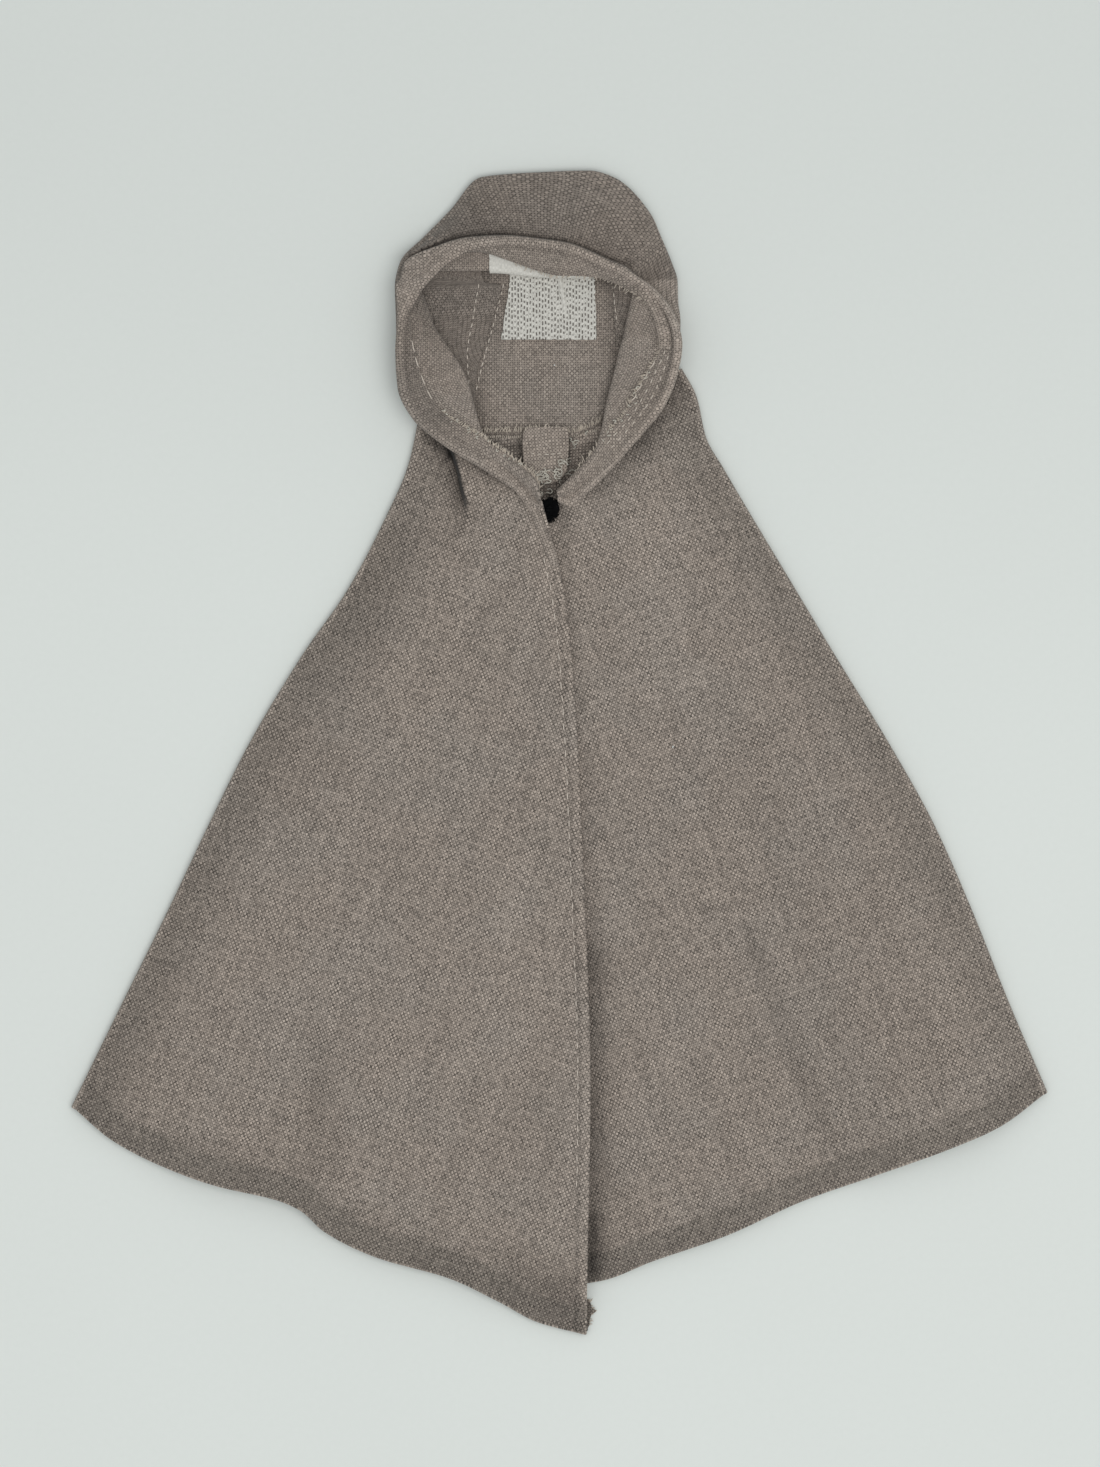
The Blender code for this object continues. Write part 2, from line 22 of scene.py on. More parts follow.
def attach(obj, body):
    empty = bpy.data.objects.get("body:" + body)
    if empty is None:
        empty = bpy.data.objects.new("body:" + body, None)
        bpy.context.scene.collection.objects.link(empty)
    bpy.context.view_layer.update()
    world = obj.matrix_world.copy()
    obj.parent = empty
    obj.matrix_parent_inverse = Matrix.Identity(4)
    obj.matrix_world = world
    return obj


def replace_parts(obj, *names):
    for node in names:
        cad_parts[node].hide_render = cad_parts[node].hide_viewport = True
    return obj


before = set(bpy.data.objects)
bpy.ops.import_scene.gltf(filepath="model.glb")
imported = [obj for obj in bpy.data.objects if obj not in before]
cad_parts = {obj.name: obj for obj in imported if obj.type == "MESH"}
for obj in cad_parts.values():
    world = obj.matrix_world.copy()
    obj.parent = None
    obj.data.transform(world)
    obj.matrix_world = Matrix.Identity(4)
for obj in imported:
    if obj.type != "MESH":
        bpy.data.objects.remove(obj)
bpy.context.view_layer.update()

LOG = logging.getLogger("poncho")
MM = 0.001  # in metres
CLOTH = 0.42  # thickness of the woven cloth, as drawn
HALF = CLOTH / 2
TURN = 0.26  # radius of a turned edge, to the middle of the cloth
LEAST = 1e-9  # a shorter vector has no direction
SHARP = math.radians(60)  # a cloth's faces that meet at more than this show an edge

Pair = tuple[float, float]
RGB = tuple[float, float, float]
Rows = Sequence[Sequence[float]]
Array = np.ndarray
Piece = bpy.types.Object
Material = bpy.types.Material
Socket = bpy.types.NodeSocket


class Side(Enum):
    """Which front a panel is, as seen from above."""

    LEFT = "left"
    RIGHT = "right"


class Hold(Enum):
    """How a cloth is held in the finished garment."""

    LAID = "laid"
    FOLDED = "folded"


# Smooth lines and steps

def ease(value: Array | float, low: float, high: float) -> Array:
    """Gives 0 below low, 1 above high and a smooth step between them.

    Args:
        value: Places to read.
        low: Where the step starts.
        high: Where the step ends.

    Returns:
        The step's height at each place.
    """
    t = np.clip((np.asarray(value, float) - low) / (high - low), 0.0, 1.0)
    return t * t * (3 - 2 * t)


def fade(value: Array | float, low: float, high: float) -> Array:
    """Gives 1 below low, 0 above high and a smooth step between them."""
    return 1 - ease(value, low, high)


def bell(value: Array, middle: Array | float, width: Array | float) -> Array:
    """Gives 1 at middle, and less and less on both sides of it."""
    return np.exp(-(((value - middle) / width) ** 2))


def unit(vectors: Array) -> Array:
    """Brings the vectors along the last axis to length 1."""
    return vectors / np.maximum(np.linalg.norm(vectors, axis=-1, keepdims=True), LEAST)


def spread(*parts: Array) -> Array:
    """Puts coordinates together as points, each part brought to the shape of all."""
    return np.stack(np.broadcast_arrays(*parts), axis=-1)


def lifted(plan: Array, level: Array | float) -> Array:
    """Puts points in plan at their levels."""
    return spread(plan[..., 0], plan[..., 1], level)


def on_cut(plan: Array, degrees: float) -> Array:
    """Lays a panel's plan on the woven cloth, so that its warp leans by an angle."""
    cosine, sine = math.cos(math.radians(degrees)), math.sin(math.radians(degrees))
    return plan @ np.array([[cosine, -sine], [-sine, -cosine]]).T


def lengths_along(line: Array) -> Array:
    """Measures how far along a line each of its points lies."""
    return np.concatenate([[0.0], np.cumsum(np.linalg.norm(np.diff(line, axis=0), axis=1))])


def points_at(line: Array, lengths: Array, at: Array | float) -> Array:
    """Reads a line's points at distances along it."""
    return np.stack([np.interp(at, lengths, line[:, k]) for k in range(3)], axis=-1)


def through(places: Sequence[float], values: Rows | Sequence[float], at: Array | float) -> Array:
    """Reads a curve through values at rising places, without overshoot.

    Args:
        places: Rising places, one for each value.
        values: Numbers or points that the curve passes through.
        at: Places to read, of any shape.

    Returns:
        The curve at each place, with the shape of at and then that of one value.
    """
    x = np.asarray(places, float)
    y = np.asarray(values, float)
    step = np.diff(x).reshape((-1,) + (1,) * (y.ndim - 1))
    slope = np.diff(y, axis=0) / step
    before, after = slope[:-1], slope[1:]
    same_way = before * after > 0
    total = np.where(same_way, before + after, 1.0)
    inner = np.where(same_way, 2 * before * after / total, 0.0)
    tangent = np.concatenate([slope[:1], inner, slope[-1:]])
    at = np.asarray(at, float)
    i = np.clip(np.searchsorted(x, at) - 1, 0, len(x) - 2)
    width = (x[i + 1] - x[i]).reshape(at.shape + (1,) * (y.ndim - 1))
    t = np.clip((at - x[i]).reshape(width.shape) / width, 0.0, 1.0)
    return (
        (2 * t**3 - 3 * t**2 + 1) * y[i]
        + (t**3 - 2 * t**2 + t) * width * tangent[i]
        + (3 * t**2 - 2 * t**3) * y[i + 1]
        + (t**3 - t**2) * width * tangent[i + 1]
    )


def read(table: Rows, at: Array | float) -> Array:
    """Reads the curve through a table's rows, each a rising place and its number."""
    rows = np.asarray(table, float)
    return through(rows[:, 0], rows[:, 1], at)


def along(points: Rows, shares: Array) -> Array:
    """Reads points at shares, from 0 to 1, of the way along a smooth line.

    Args:
        points: The line's own points.
        shares: Shares of its length, of any shape.

    Returns:
        The points, with the shape of shares and then one point's.
    """
    line = np.asarray(points, float)
    places = lengths_along(line)
    return through(places, line, np.asarray(shares, float) * places[-1])


def flowing(points: Array, steps: int) -> Array:
    """Runs a flowing curve through points along their last but one axis.

    Args:
        points: Control points, shaped (..., count, 3).
        steps: Steps between two control points.

    Returns:
        The curve's points, shaped (..., (count - 1) * steps + 1, 3).
    """
    first = 2 * points[..., :1, :] - points[..., 1:2, :]
    last = 2 * points[..., -1:, :] - points[..., -2:-1, :]
    padded = np.concatenate([first, points, last], axis=-2)
    rows = []
    for k in range(steps):
        t = k / steps
        weights = (
            (-t + 2 * t**2 - t**3) / 2,
            (2 - 5 * t**2 + 3 * t**3) / 2,
            (t + 4 * t**2 - 3 * t**3) / 2,
            (-(t**2) + t**3) / 2,
        )
        count = points.shape[-2] - 1
        rows.append(sum(w * padded[..., i : i + count, :] for i, w in enumerate(weights)))
    curve = np.stack(rows, axis=-2).reshape(points.shape[:-2] + (-1, points.shape[-1]))
    return np.concatenate([curve, points[..., -1:, :]], axis=-2)


def inward(line: Array, towards: Sequence[float]) -> Array:
    """Gives level unit vectors across a line, on the side where a point lies.

    Args:
        line: Points in plan.
        towards: The point that the vectors face.

    Returns:
        One unit vector for each point of the line.
    """
    run = np.gradient(line, axis=0)
    across = unit(np.stack([-run[:, 1], run[:, 0]], axis=1))
    facing = np.sum(across * (np.asarray(towards) - line), axis=1, keepdims=True)
    return across * np.sign(facing)


def ripple(x: Array, y: Array | float, seed: int, length: float, waves: int = 9) -> Array:
    """Gives a soft uneven surface between about -1 and 1.

    Args:
        x: Places across.
        y: Places up.
        seed: Picks one of many such surfaces.
        length: Its usual wave length.
        waves: How many plain waves it is the sum of.

    Returns:
        The surface's height at each place.
    """
    usual_most = 5.0
    draw = random.Random(seed)
    height = np.zeros_like(np.asarray(x, float))
    for _ in range(waves):
        turn = draw.uniform(0, math.tau)
        wave = math.tau / (length * draw.uniform(0.6, 1.8))
        phase = draw.uniform(0, math.tau)
        height += np.sin((x * math.cos(turn) + y * math.sin(turn)) * wave + phase)
    return height / usual_most


# Shader maths

Number = Union["Value", float]
Source = Union["Value", Socket, float]


def math_node(operation: str) -> Callable[..., "Value"]:
    """Makes a method of Value that adds one kind of Math node.

    Args:
        operation: The node's operation.

    Returns:
        The method.
    """

    def method(value: "Value", *others: Number) -> "Value":
        """Adds the Math node, which starts with this number."""
        return value.shader.math(operation, value, *others)

    return method


class Value:
    """A number in a shader, whose Python operators add Math nodes."""

    __add__ = __radd__ = math_node("ADD")
    __mul__ = __rmul__ = math_node("MULTIPLY")
    __sub__ = math_node("SUBTRACT")
    __truediv__ = math_node("DIVIDE")
    __pow__ = math_node("POWER")
    __gt__ = math_node("GREATER_THAN")
    floor = math_node("FLOOR")
    fract = math_node("FRACT")
    sine = math_node("SINE")
    most = math_node("MAXIMUM")

    def __init__(self, shader: "Shader", socket: Socket) -> None:
        """Keeps the shader and the socket that gives the number."""
        self.shader = shader
        self.socket = socket

    def __rsub__(self, other: float) -> "Value":
        """Takes this away from other."""
        return self.shader.math("SUBTRACT", other, self)

    def arch(self) -> "Value":
        """Rises from 0 at a whole number to 1 and falls to 0 at the next."""
        return (self.fract() * math.pi).sine()

    def step(self, low: float, high: float) -> "Value":
        """Makes a smooth step from 0 at low to 1 at high.

        Args:
            low: Where the step starts.
            high: Where it ends.

        Returns:
            The step.
        """
        settings = {"interpolation_type": "SMOOTHSTEP"}
        inputs = {0: self, 1: low, 2: high, 3: 0.0, 4: 1.0}
        return Value(self.shader, self.shader.add("ShaderNodeMapRange", settings, inputs))


class Shader:
    """A material whose nodes are added in Python."""

    def __init__(self, name: str) -> None:
        """Starts a material with one Principled shader.

        Args:
            name: The material's name.
        """
        self.material = bpy.data.materials.new(name)
        self.material.use_nodes = True
        self.tree = self.material.node_tree
        self.principled = self.tree.nodes["Principled BSDF"]

    def link(self, target: Socket, source: Source) -> None:
        """Joins a source to a socket, or sets the socket where the source is a constant.

        Args:
            target: The socket that receives.
            source: A number of this shader, a socket or a constant.
        """
        if isinstance(source, Value):
            self.tree.links.new(source.socket, target)
        elif isinstance(source, Socket):
            self.tree.links.new(source, target)
        else:
            target.default_value = source

    def add(self, kind: str, settings: dict, inputs: dict, output: int = 0) -> Socket:
        """Adds a node.

        Args:
            kind: The node's type.
            settings: Its settings, which are set first.
            inputs: Constants or links for its sockets, by number or name.
            output: Which of its outputs to give.

        Returns:
            That output.
        """
        node = self.tree.nodes.new(kind)
        for key, value in settings.items():
            setattr(node, key, value)
        for key, source in inputs.items():
            self.link(node.inputs[key], source)
        return node.outputs[output]

    def math(self, operation: str, *values: Number) -> Value:
        """Adds a Math node.

        Args:
            operation: Its operation.
            values: Its numbers.

        Returns:
            The result.
        """
        socket = self.add("ShaderNodeMath", {"operation": operation}, dict(enumerate(values)))
        return Value(self, socket)

    def split(self, vector: Socket) -> tuple[Value, Value, Value]:
        """Takes a vector apart."""
        first = self.add("ShaderNodeSeparateXYZ", {}, {0: vector})
        return tuple(Value(self, socket) for socket in first.node.outputs)

    def join(self, x: Number, y: Number, z: Number = 0.0) -> Socket:
        """Puts a vector together."""
        return self.add("ShaderNodeCombineXYZ", {}, {0: x, 1: y, 2: z})

    def object_place(self) -> Socket:
        """Gives the point on the piece itself, in metres."""
        return self.add("ShaderNodeTexCoord", {}, {}, 3)

    def cloth_place(self) -> tuple[Value, Value]:
        """Gives the point on the flat cloth, in millimetres."""
        x, y, _ = self.split(self.add("ShaderNodeUVMap", {"uv_map": "cut"}, {}))
        return x / MM, y / MM

    def cloth_marks(self) -> tuple[Value, Value, Value]:
        """Gives how doubled the cloth is, how much painted highlight it has and how much painted
        shade.
        """
        return self.split(self.add("ShaderNodeAttribute", {"attribute_name": "marks"}, {}))

    def noise(self, place: Socket, scale: float, detail: float = 2.0) -> Value:
        """Adds soft noise.

        Args:
            place: Where to read it.
            scale: Waves for each unit of place.
            detail: How many finer layers it has.

        Returns:
            The noise, from 0 to 1.
        """
        inputs = {"Vector": place, "Scale": scale, "Detail": detail, "Roughness": 0.55}
        return Value(self, self.add("ShaderNodeTexNoise", {"noise_dimensions": "3D"}, inputs))

    def stray(
        self, x: Value, y: Value, place: Socket, layer: float, scale: float, reach: float,
        detail: float = 2.0,
    ) -> tuple[Value, Value]:
        """Lets threads stray from straight lines.

        Args:
            x: The place across the threads.
            y: The place along them.
            place: The point on the flat cloth.
            layer: Keeps the second noise apart from others.
            scale: Waves for each unit of place.
            reach: How far the threads stray.
            detail: How many finer layers the noise has.

        Returns:
            The two places, moved.
        """
        x = x + (self.noise(place, scale, detail) - 0.5) * reach
        y = y + (self.noise(self.join(y, x, layer), scale, detail) - 0.5) * reach
        return x, y

    def chance(self, x: Number, y: Number) -> Value:
        """Adds a random number from 0 to 1 for each pair of whole numbers."""
        inputs = {"Vector": self.join(x, y)}
        return Value(self, self.add("ShaderNodeTexWhiteNoise", {"noise_dimensions": "2D"}, inputs))

    def mix(self, share: Number, first: object, second: object) -> Socket:
        """Mixes two colours.

        Args:
            share: How much of the second shows.
            first: A colour or a socket.
            second: A colour or a socket.

        Returns:
            The mixed colour.
        """
        inputs = {0: share, 6: self.colour(first), 7: self.colour(second)}
        return self.add("ShaderNodeMix", {"data_type": "RGBA"}, inputs, 2)

    def scale(self, colour: object, factor: Value) -> Socket:
        """Makes a colour lighter or darker."""
        inputs = {0: 1.0, 6: self.colour(colour), 7: self.join(factor, factor, factor)}
        return self.add("ShaderNodeMix", {"data_type": "RGBA", "blend_type": "MULTIPLY"}, inputs, 2)

    @staticmethod
    def colour(source: object) -> object:
        """Gives a colour its alpha."""
        return (*source, 1.0) if isinstance(source, tuple) else source

    def bump(self, height: Value, depth: float, strength: float) -> None:
        """Raises the surface's shading by a height.

        Args:
            height: The height, from 0 to 1.
            depth: How far 1 stands up, in metres.
            strength: How strongly it shows.
        """
        inputs = {"Height": height, "Distance": depth, "Strength": strength}
        self.link(self.principled.inputs["Normal"], self.add("ShaderNodeBump", {}, inputs))

    def set(self, **values: object) -> None:
        """Sets or links sockets of the Principled shader, with _ for each space."""
        for key, value in values.items():
            self.link(self.principled.inputs[key.replace("_", " ")], self.colour(value))


# Finishes

@dataclass(frozen=True)
class WovenFinish:
    """Plain-woven cloth, drawn thread by thread on the cloth's own cut."""

    name: str
    thread: RGB = (0.308, 0.262, 0.226)
    doubled: RGB = (0.230, 0.200, 0.173)
    cool: RGB = (0.285, 0.254, 0.226)
    pitch: Pair = (0.37, 0.43)
    gap: float = 0.70
    wander: float = 0.16
    slub: float = 0.34
    grain: float = 0.62
    check: float = 0.38
    depth: float = 0.00010

    crest: float = 0.62
    swing: float = 0.32
    uneven: float = 0.9
    tint: float = 0.16

    def material(self) -> Material:
        """Builds the weave: threads over and under, gaps between, slubs and soft tone.

        Returns:
            The material.
        """
        shader = Shader(self.name)
        x, y = shader.cloth_place()
        place = shader.join(x, y)
        x, y = shader.stray(x, y, place, 7.0, 0.16, self.wander * 4)
        x, y = shader.stray(x, y, place, 3.0, 1.1, self.wander, 0.0)

        # Threads that pass over and under each other
        across, down = x / self.pitch[0], y / self.pitch[1]
        warp, weft = across.floor(), down.floor()
        over = (((warp + weft) * 0.5).fract() > 0.25) * 2.0 - 1.0
        round_warp, round_weft = across.arch(), down.arch()
        thick_warp = shader.noise(shader.join(warp * 3.7, down * 0.035, 1.0), 1.0)
        thick_weft = shader.noise(shader.join(weft * 3.7, across * 0.035, 5.0), 1.0)
        warp_high = (round_warp**0.7) * (
            (over * round_weft) * self.swing + self.crest + (thick_warp - 0.5) * self.uneven
        )
        weft_high = (round_weft**0.7) * (
            self.crest - (over * round_warp) * self.swing + (thick_weft - 0.5) * self.uneven
        )
        height = warp_high.most(weft_high)

        # Each thread's own tint, with dark holes where four threads meet
        corner = shader.chance((across + 0.5).floor(), (down + 0.5).floor())
        lit = (height + (corner - 0.5) * 0.25).step(0.05, 0.62)
        on_top = warp_high > weft_high
        warp_tint = shader.chance(warp, 3.0) - 0.5
        weft_tint = shader.chance(weft, 9.0) - 0.5
        tint = (warp_tint - weft_tint) * on_top + weft_tint
        streak = (thick_warp - thick_weft) * on_top + thick_weft
        cloud = shader.noise(place, 0.055, 4.0)
        fleck = shader.noise(shader.join(x * 0.6, y * 1.4), 0.9, 3.0)
        tone = lit * self.gap + (1.0 - self.gap)
        tone = tone * (1.0 + tint * self.tint + (streak - 0.5) * self.slub)
        knuckle = shader.chance(warp + 31.0, weft + 57.0)
        hole = ((1.0 - round_warp) * (1.0 - round_weft)).step(0.16, 0.55) * (corner * 0.8 + 0.2)
        woven = over * (corner * 0.9 + 0.3) * self.check
        tone = tone * ((knuckle - 0.5) * self.grain + 1.0 + woven) * (1.0 - hole * 0.96) * 1.04
        tone = tone * (0.925 + cloud * 0.12 + fleck * 0.05)

        # The cloth's colour, cooler in places, darker where it is doubled, lighter under the
        # painted highlight mark and darker under the painted shade mark
        double, wear_and_highlight, shade = shader.cloth_marks()
        base = shader.mix(cloud.step(0.40, 0.64) * 0.4, self.thread, self.cool)
        base = shader.mix(double * 0.85, base, self.doubled)
        base = shader.scale(base, tone * (1.0 + wear_and_highlight * 0.12) * (1.0 - shade * 0.5))
        shader.set(Base_Color=base, Roughness=0.92, Sheen_Weight=0.12, Sheen_Roughness=0.6)
        shader.set(Specular_IOR_Level=0.2)
        shader.bump(height, self.depth, 0.7)
        return shader.material


@dataclass(frozen=True)
class KnitFinish:
    """Open white knit: columns of loops with small dark gaps between them."""

    name: str
    yarn: RGB = (0.72, 0.705, 0.655)
    gap: RGB = (0.13, 0.115, 0.10)
    pitch: Pair = (0.55, 1.00)
    wander: float = 0.35

    def material(self) -> Material:
        """Builds the columns and their gaps.

        Returns:
            The material.
        """
        shader = Shader(self.name)
        x, y = shader.cloth_place()
        place = shader.join(x, y)
        x, y = shader.stray(x, y, place, 4.0, 0.5, self.wander)
        across = x / self.pitch[0]
        column = across.floor()
        down = y / self.pitch[1] + (column * 0.5).fract() + (column * 0.377).fract() * 0.55
        rib, loop = across.arch(), down.arch()
        luck = shader.chance(column, down.floor())
        # The second mark closes the knit's gaps: painted highlight along the ridge where the patch
        # folds over the pleat's edge, and closed gaps over the patch's top
        _, smooth, _ = shader.cloth_marks()
        gap = rib.step(0.60, 0.93) * (loop - luck * 0.55).step(0.22, 0.62) * (1.0 - smooth)
        fleck = shader.noise(place, 2.6, 4.0)
        pinholes = (shader.noise(shader.join(x * 1.6, y, 9.0), 3.4, 0.0) - 0.50).step(0.0, 0.16)
        gap = gap.most(pinholes * (1.0 - smooth) * 0.26)
        colour = shader.mix(gap * 0.95, self.yarn, self.gap)
        colour = shader.scale(colour, (0.80 + fleck * 0.40) * (0.90 + rib * 0.12))
        shader.set(Base_Color=colour, Roughness=0.95, Sheen_Weight=0.1, Specular_IOR_Level=0.2)
        shader.bump(rib * 0.3 + loop * 0.3 - gap, 0.00016, 0.7)
        return shader.material


@dataclass(frozen=True)
class ThreadFinish:
    """Twisted sewing thread or a frayed end, with one turn of its twist in each lay."""

    name: str
    colour: RGB
    sheen: float = 0.1
    lay: float = 0.00045

    def material(self) -> Material:
        """Builds a twist and an uneven tone on the thread's own place.

        Returns:
            The material.
        """
        shader = Shader(self.name)
        place = shader.object_place()
        x, y, z = shader.split(place)
        twist = ((x + y * 1.3 + z * 0.7) * (math.tau / self.lay)).sine() * 0.5 + 0.5
        cloud = shader.noise(place, 900.0, 2.0)
        shader.set(Base_Color=shader.scale(self.colour, 0.68 + twist * 0.22 + cloud * 0.34))
        shader.set(Roughness=0.85, Sheen_Weight=self.sheen, Specular_IOR_Level=self.sheen * 2.5)
        shader.bump(twist, 0.00003, 0.5)
        return shader.material


@dataclass(frozen=True)
class EnamelFinish:
    """Black enamel on a pressed snap, worn a little in fine scuffs."""

    name: str
    colour: RGB = (0.002, 0.002, 0.0024)
    wear_and_highlight: RGB = (0.010, 0.010, 0.011)

    def material(self) -> Material:
        """Builds the enamel with fine scuffs.

        Returns:
            The material.
        """
        shader = Shader(self.name)
        place = shader.object_place()
        scuff = shader.noise(place, 2600.0, 4.0)
        shader.set(Base_Color=shader.mix(scuff.step(0.55, 0.8), self.colour, self.wear_and_highlight))
        shader.set(Roughness=scuff * 0.3 + 0.55, Metallic=0.0, Specular_IOR_Level=0.05)
        shader.bump(scuff, 0.00002, 0.4)
        return shader.material


@dataclass(frozen=True)
class GroundFinish:
    """The matt pale surface that the garment lies on."""

    name: str
    colour: RGB = (0.79, 0.83, 0.805)

    def material(self) -> Material:
        """Builds a faint mottle and grain, and painted shade that darkens the ground towards the
        top.

        Returns:
            The material.
        """
        shader = Shader(self.name)
        place = shader.object_place()
        broad = shader.noise(place, 9.0, 2.0)
        grain = shader.noise(place, 900.0, 2.0)
        _, up, _ = shader.split(place)
        # Painted shade: the ground grows up to 5 per cent darker towards the top
        tone = (0.955 + broad * 0.04 + grain * 0.03) * (1.0 - up.step(0.0, 0.12) * 0.05)
        shader.set(Base_Color=shader.scale(self.colour, tone))
        shader.set(Roughness=0.75, Specular_IOR_Level=0.3)
        shader.bump(grain, 0.00004, 0.25)
        return shader.material


@dataclass(frozen=True)
class Finishes:
    """Every finish of the garment, made once."""

    body: Material
    hood: Material
    knit: Material
    stitch: Material
    fray: Material
    loose: Material
    enamel: Material
    black_thread: Material
    lint: Material
    ground: Material

    @classmethod
    def made(cls) -> "Finishes":
        """Builds the materials."""
        return cls(
            body=WovenFinish("taupe_body_weave").material(),
            hood=WovenFinish(
                "taupe_hood_weave", pitch=(0.42, 0.42), slub=0.24, grain=0.44, check=0.22
            ).material(),
            knit=KnitFinish("white_open_knit").material(),
            stitch=ThreadFinish("beige_sewing_thread", (0.66, 0.59, 0.52)).material(),
            fray=ThreadFinish("frayed_taupe_ends", (0.60, 0.53, 0.45)).material(),
            loose=ThreadFinish("loose_pale_thread", (0.62, 0.59, 0.52)).material(),
            enamel=EnamelFinish("black_enamel").material(),
            black_thread=ThreadFinish(
                "black_sewing_thread", (0.004, 0.004, 0.0045), 0.01
            ).material(),
            lint=ThreadFinish("white_lint", (0.75, 0.75, 0.73)).material(),
            ground=GroundFinish("pale_ground").material(),
        )


# Meshes

def deselect() -> None:
    """Clears the selection."""
    bpy.ops.object.select_all(action="DESELECT")


def closed_mesh(name: str, points: Array, faces: Rows) -> bpy.types.Mesh:
    """Makes a smooth closed mesh whose faces point outwards.

    Args:
        name: The mesh's name.
        points: Its points, in millimetres.
        faces: The numbers of each face's points.

    Returns:
        The mesh, in metres.
    """
    mesh = bpy.data.meshes.new(name)
    mesh.from_pydata((points * MM).tolist(), [], faces)
    builder = bmesh.new()
    builder.from_mesh(mesh)
    bmesh.ops.recalc_face_normals(builder, faces=builder.faces)
    builder.to_mesh(mesh)
    builder.free()
    mesh.shade_smooth()
    return mesh


def new_piece(mesh: bpy.types.Mesh, finish: Material) -> Piece:
    """Puts a mesh in the scene as a piece of the same name, at the origin.

    Args:
        mesh: Its mesh, in metres.
        finish: Its material.

    Returns:
        The new object.
    """
    mesh.materials.append(finish)
    made = bpy.data.objects.new(mesh.name, mesh)
    bpy.context.scene.collection.objects.link(made)
    return made


@dataclass
class ClothSheet:
    """A grid of points in the middle of a cloth, with the same points on the flat cloth.

    The marks say how doubled the cloth is at each point, and how much painted highlight and painted
    shade it has there.
    """

    name: str
    middle: Array
    cut: Array
    marks: Array
    thickness: float = CLOTH

    def skins(self) -> tuple[Array, Array]:
        """Gives the points of the cloth's two faces, in millimetres."""
        normals = unit(np.cross(np.gradient(self.middle, axis=0), np.gradient(self.middle, axis=1)))
        half = normals * self.thickness / 2
        return self.middle + half, self.middle - half

    def area(self) -> float:
        """Works out the flat cloth's area.

        Returns:
            The area in square metres.
        """
        one = self.cut[1:, 1:] - self.cut[:-1, :-1]
        two = self.cut[1:, :-1] - self.cut[:-1, 1:]
        twice = np.abs(one[..., 0] * two[..., 1] - one[..., 1] * two[..., 0])
        return float(twice.sum() / 2 * MM * MM)

    def faces(self) -> list[list[int]]:
        """Lists the closed shell's faces: the two skins and the rim between them.

        Returns:
            The numbers of each face's points.
        """
        rows, columns = self.middle.shape[:2]
        under = rows * columns
        index = np.arange(under).reshape(rows, columns)
        top = np.stack([index[:-1, :-1], index[:-1, 1:], index[1:, 1:], index[1:, :-1]], axis=-1)
        bottom = top[..., ::-1] + under
        ring = np.concatenate([index[0, :-1], index[:-1, -1], index[-1, :0:-1], index[:0:-1, 0]])
        after = np.roll(ring, -1)
        rim = np.stack([after, ring, ring + under, after + under], axis=-1)
        return np.concatenate([top.reshape(-1, 4), bottom.reshape(-1, 4), rim]).tolist()

    def build(self, finish: Material) -> Piece:
        """Makes the closed thin mesh with its cut as a UV map and its marks as an attribute.

        Args:
            finish: The cloth's material.

        Returns:
            The new object.
        """
        points = np.concatenate([skin.reshape(-1, 3) for skin in self.skins()])
        mesh = closed_mesh(self.name, points, self.faces())
        corners = np.empty(len(mesh.loops), dtype=np.int32)
        mesh.loops.foreach_get("vertex_index", corners)
        flat = np.concatenate([self.cut.reshape(-1, 2)] * 2) * MM
        chart = mesh.uv_layers.new(name="cut")
        chart.data.foreach_set("uv", flat[corners].astype(np.float32).ravel())
        both = np.concatenate([self.marks.reshape(-1, 3)] * 2)
        colours = np.concatenate([both, np.ones((len(both), 1))], axis=1).astype(np.float32)
        layer = mesh.color_attributes.new(name="marks", type="FLOAT_COLOR", domain="POINT")
        layer.data.foreach_set("color", colours.ravel())
        mesh.set_sharp_from_angle(angle=SHARP)
        return new_piece(mesh, finish)


def tubes(name: str, lines: list[Array], radius: float, finish: Material, sides: int = 5) -> Piece:
    """Makes thin round threads along lines, as closed tubes in one mesh.

    Args:
        name: The piece's name.
        lines: Points along each thread, in millimetres.
        radius: The threads' radius.
        finish: Their material.
        sides: Sides of a tube.

    Returns:
        The new object.
    """
    points: list[Array] = []
    faces: list[tuple[int, ...]] = []
    turns = np.arange(sides) * math.tau / sides
    no_thread_runs_so = [0.13, 0.21, 0.97]
    tip = 0.35
    start = 0
    for line in lines:
        run = unit(np.gradient(line, axis=0))
        one = unit(np.cross(run, no_thread_runs_so))
        two = np.cross(run, one)
        share = np.linspace(-1, 1, len(line))
        width = radius * (tip + (1 - tip) * np.sqrt(np.clip(1 - share**6, 0, 1)))
        ring = one[:, None] * np.cos(turns)[:, None] + two[:, None] * np.sin(turns)[:, None]
        points.append((line[:, None] + ring * width[:, None, None]).reshape(-1, 3))
        last = start + (len(line) - 1) * sides
        for a in range(start, last, sides):
            for k in range(sides):
                m = (k + 1) % sides
                faces.append((a + k, a + m, a + sides + m, a + sides + k))
        faces.append(tuple(range(start, start + sides))[::-1])
        faces.append(tuple(range(last, last + sides)))
        start = last + sides
    return new_piece(closed_mesh(name, np.concatenate(points), faces), finish)


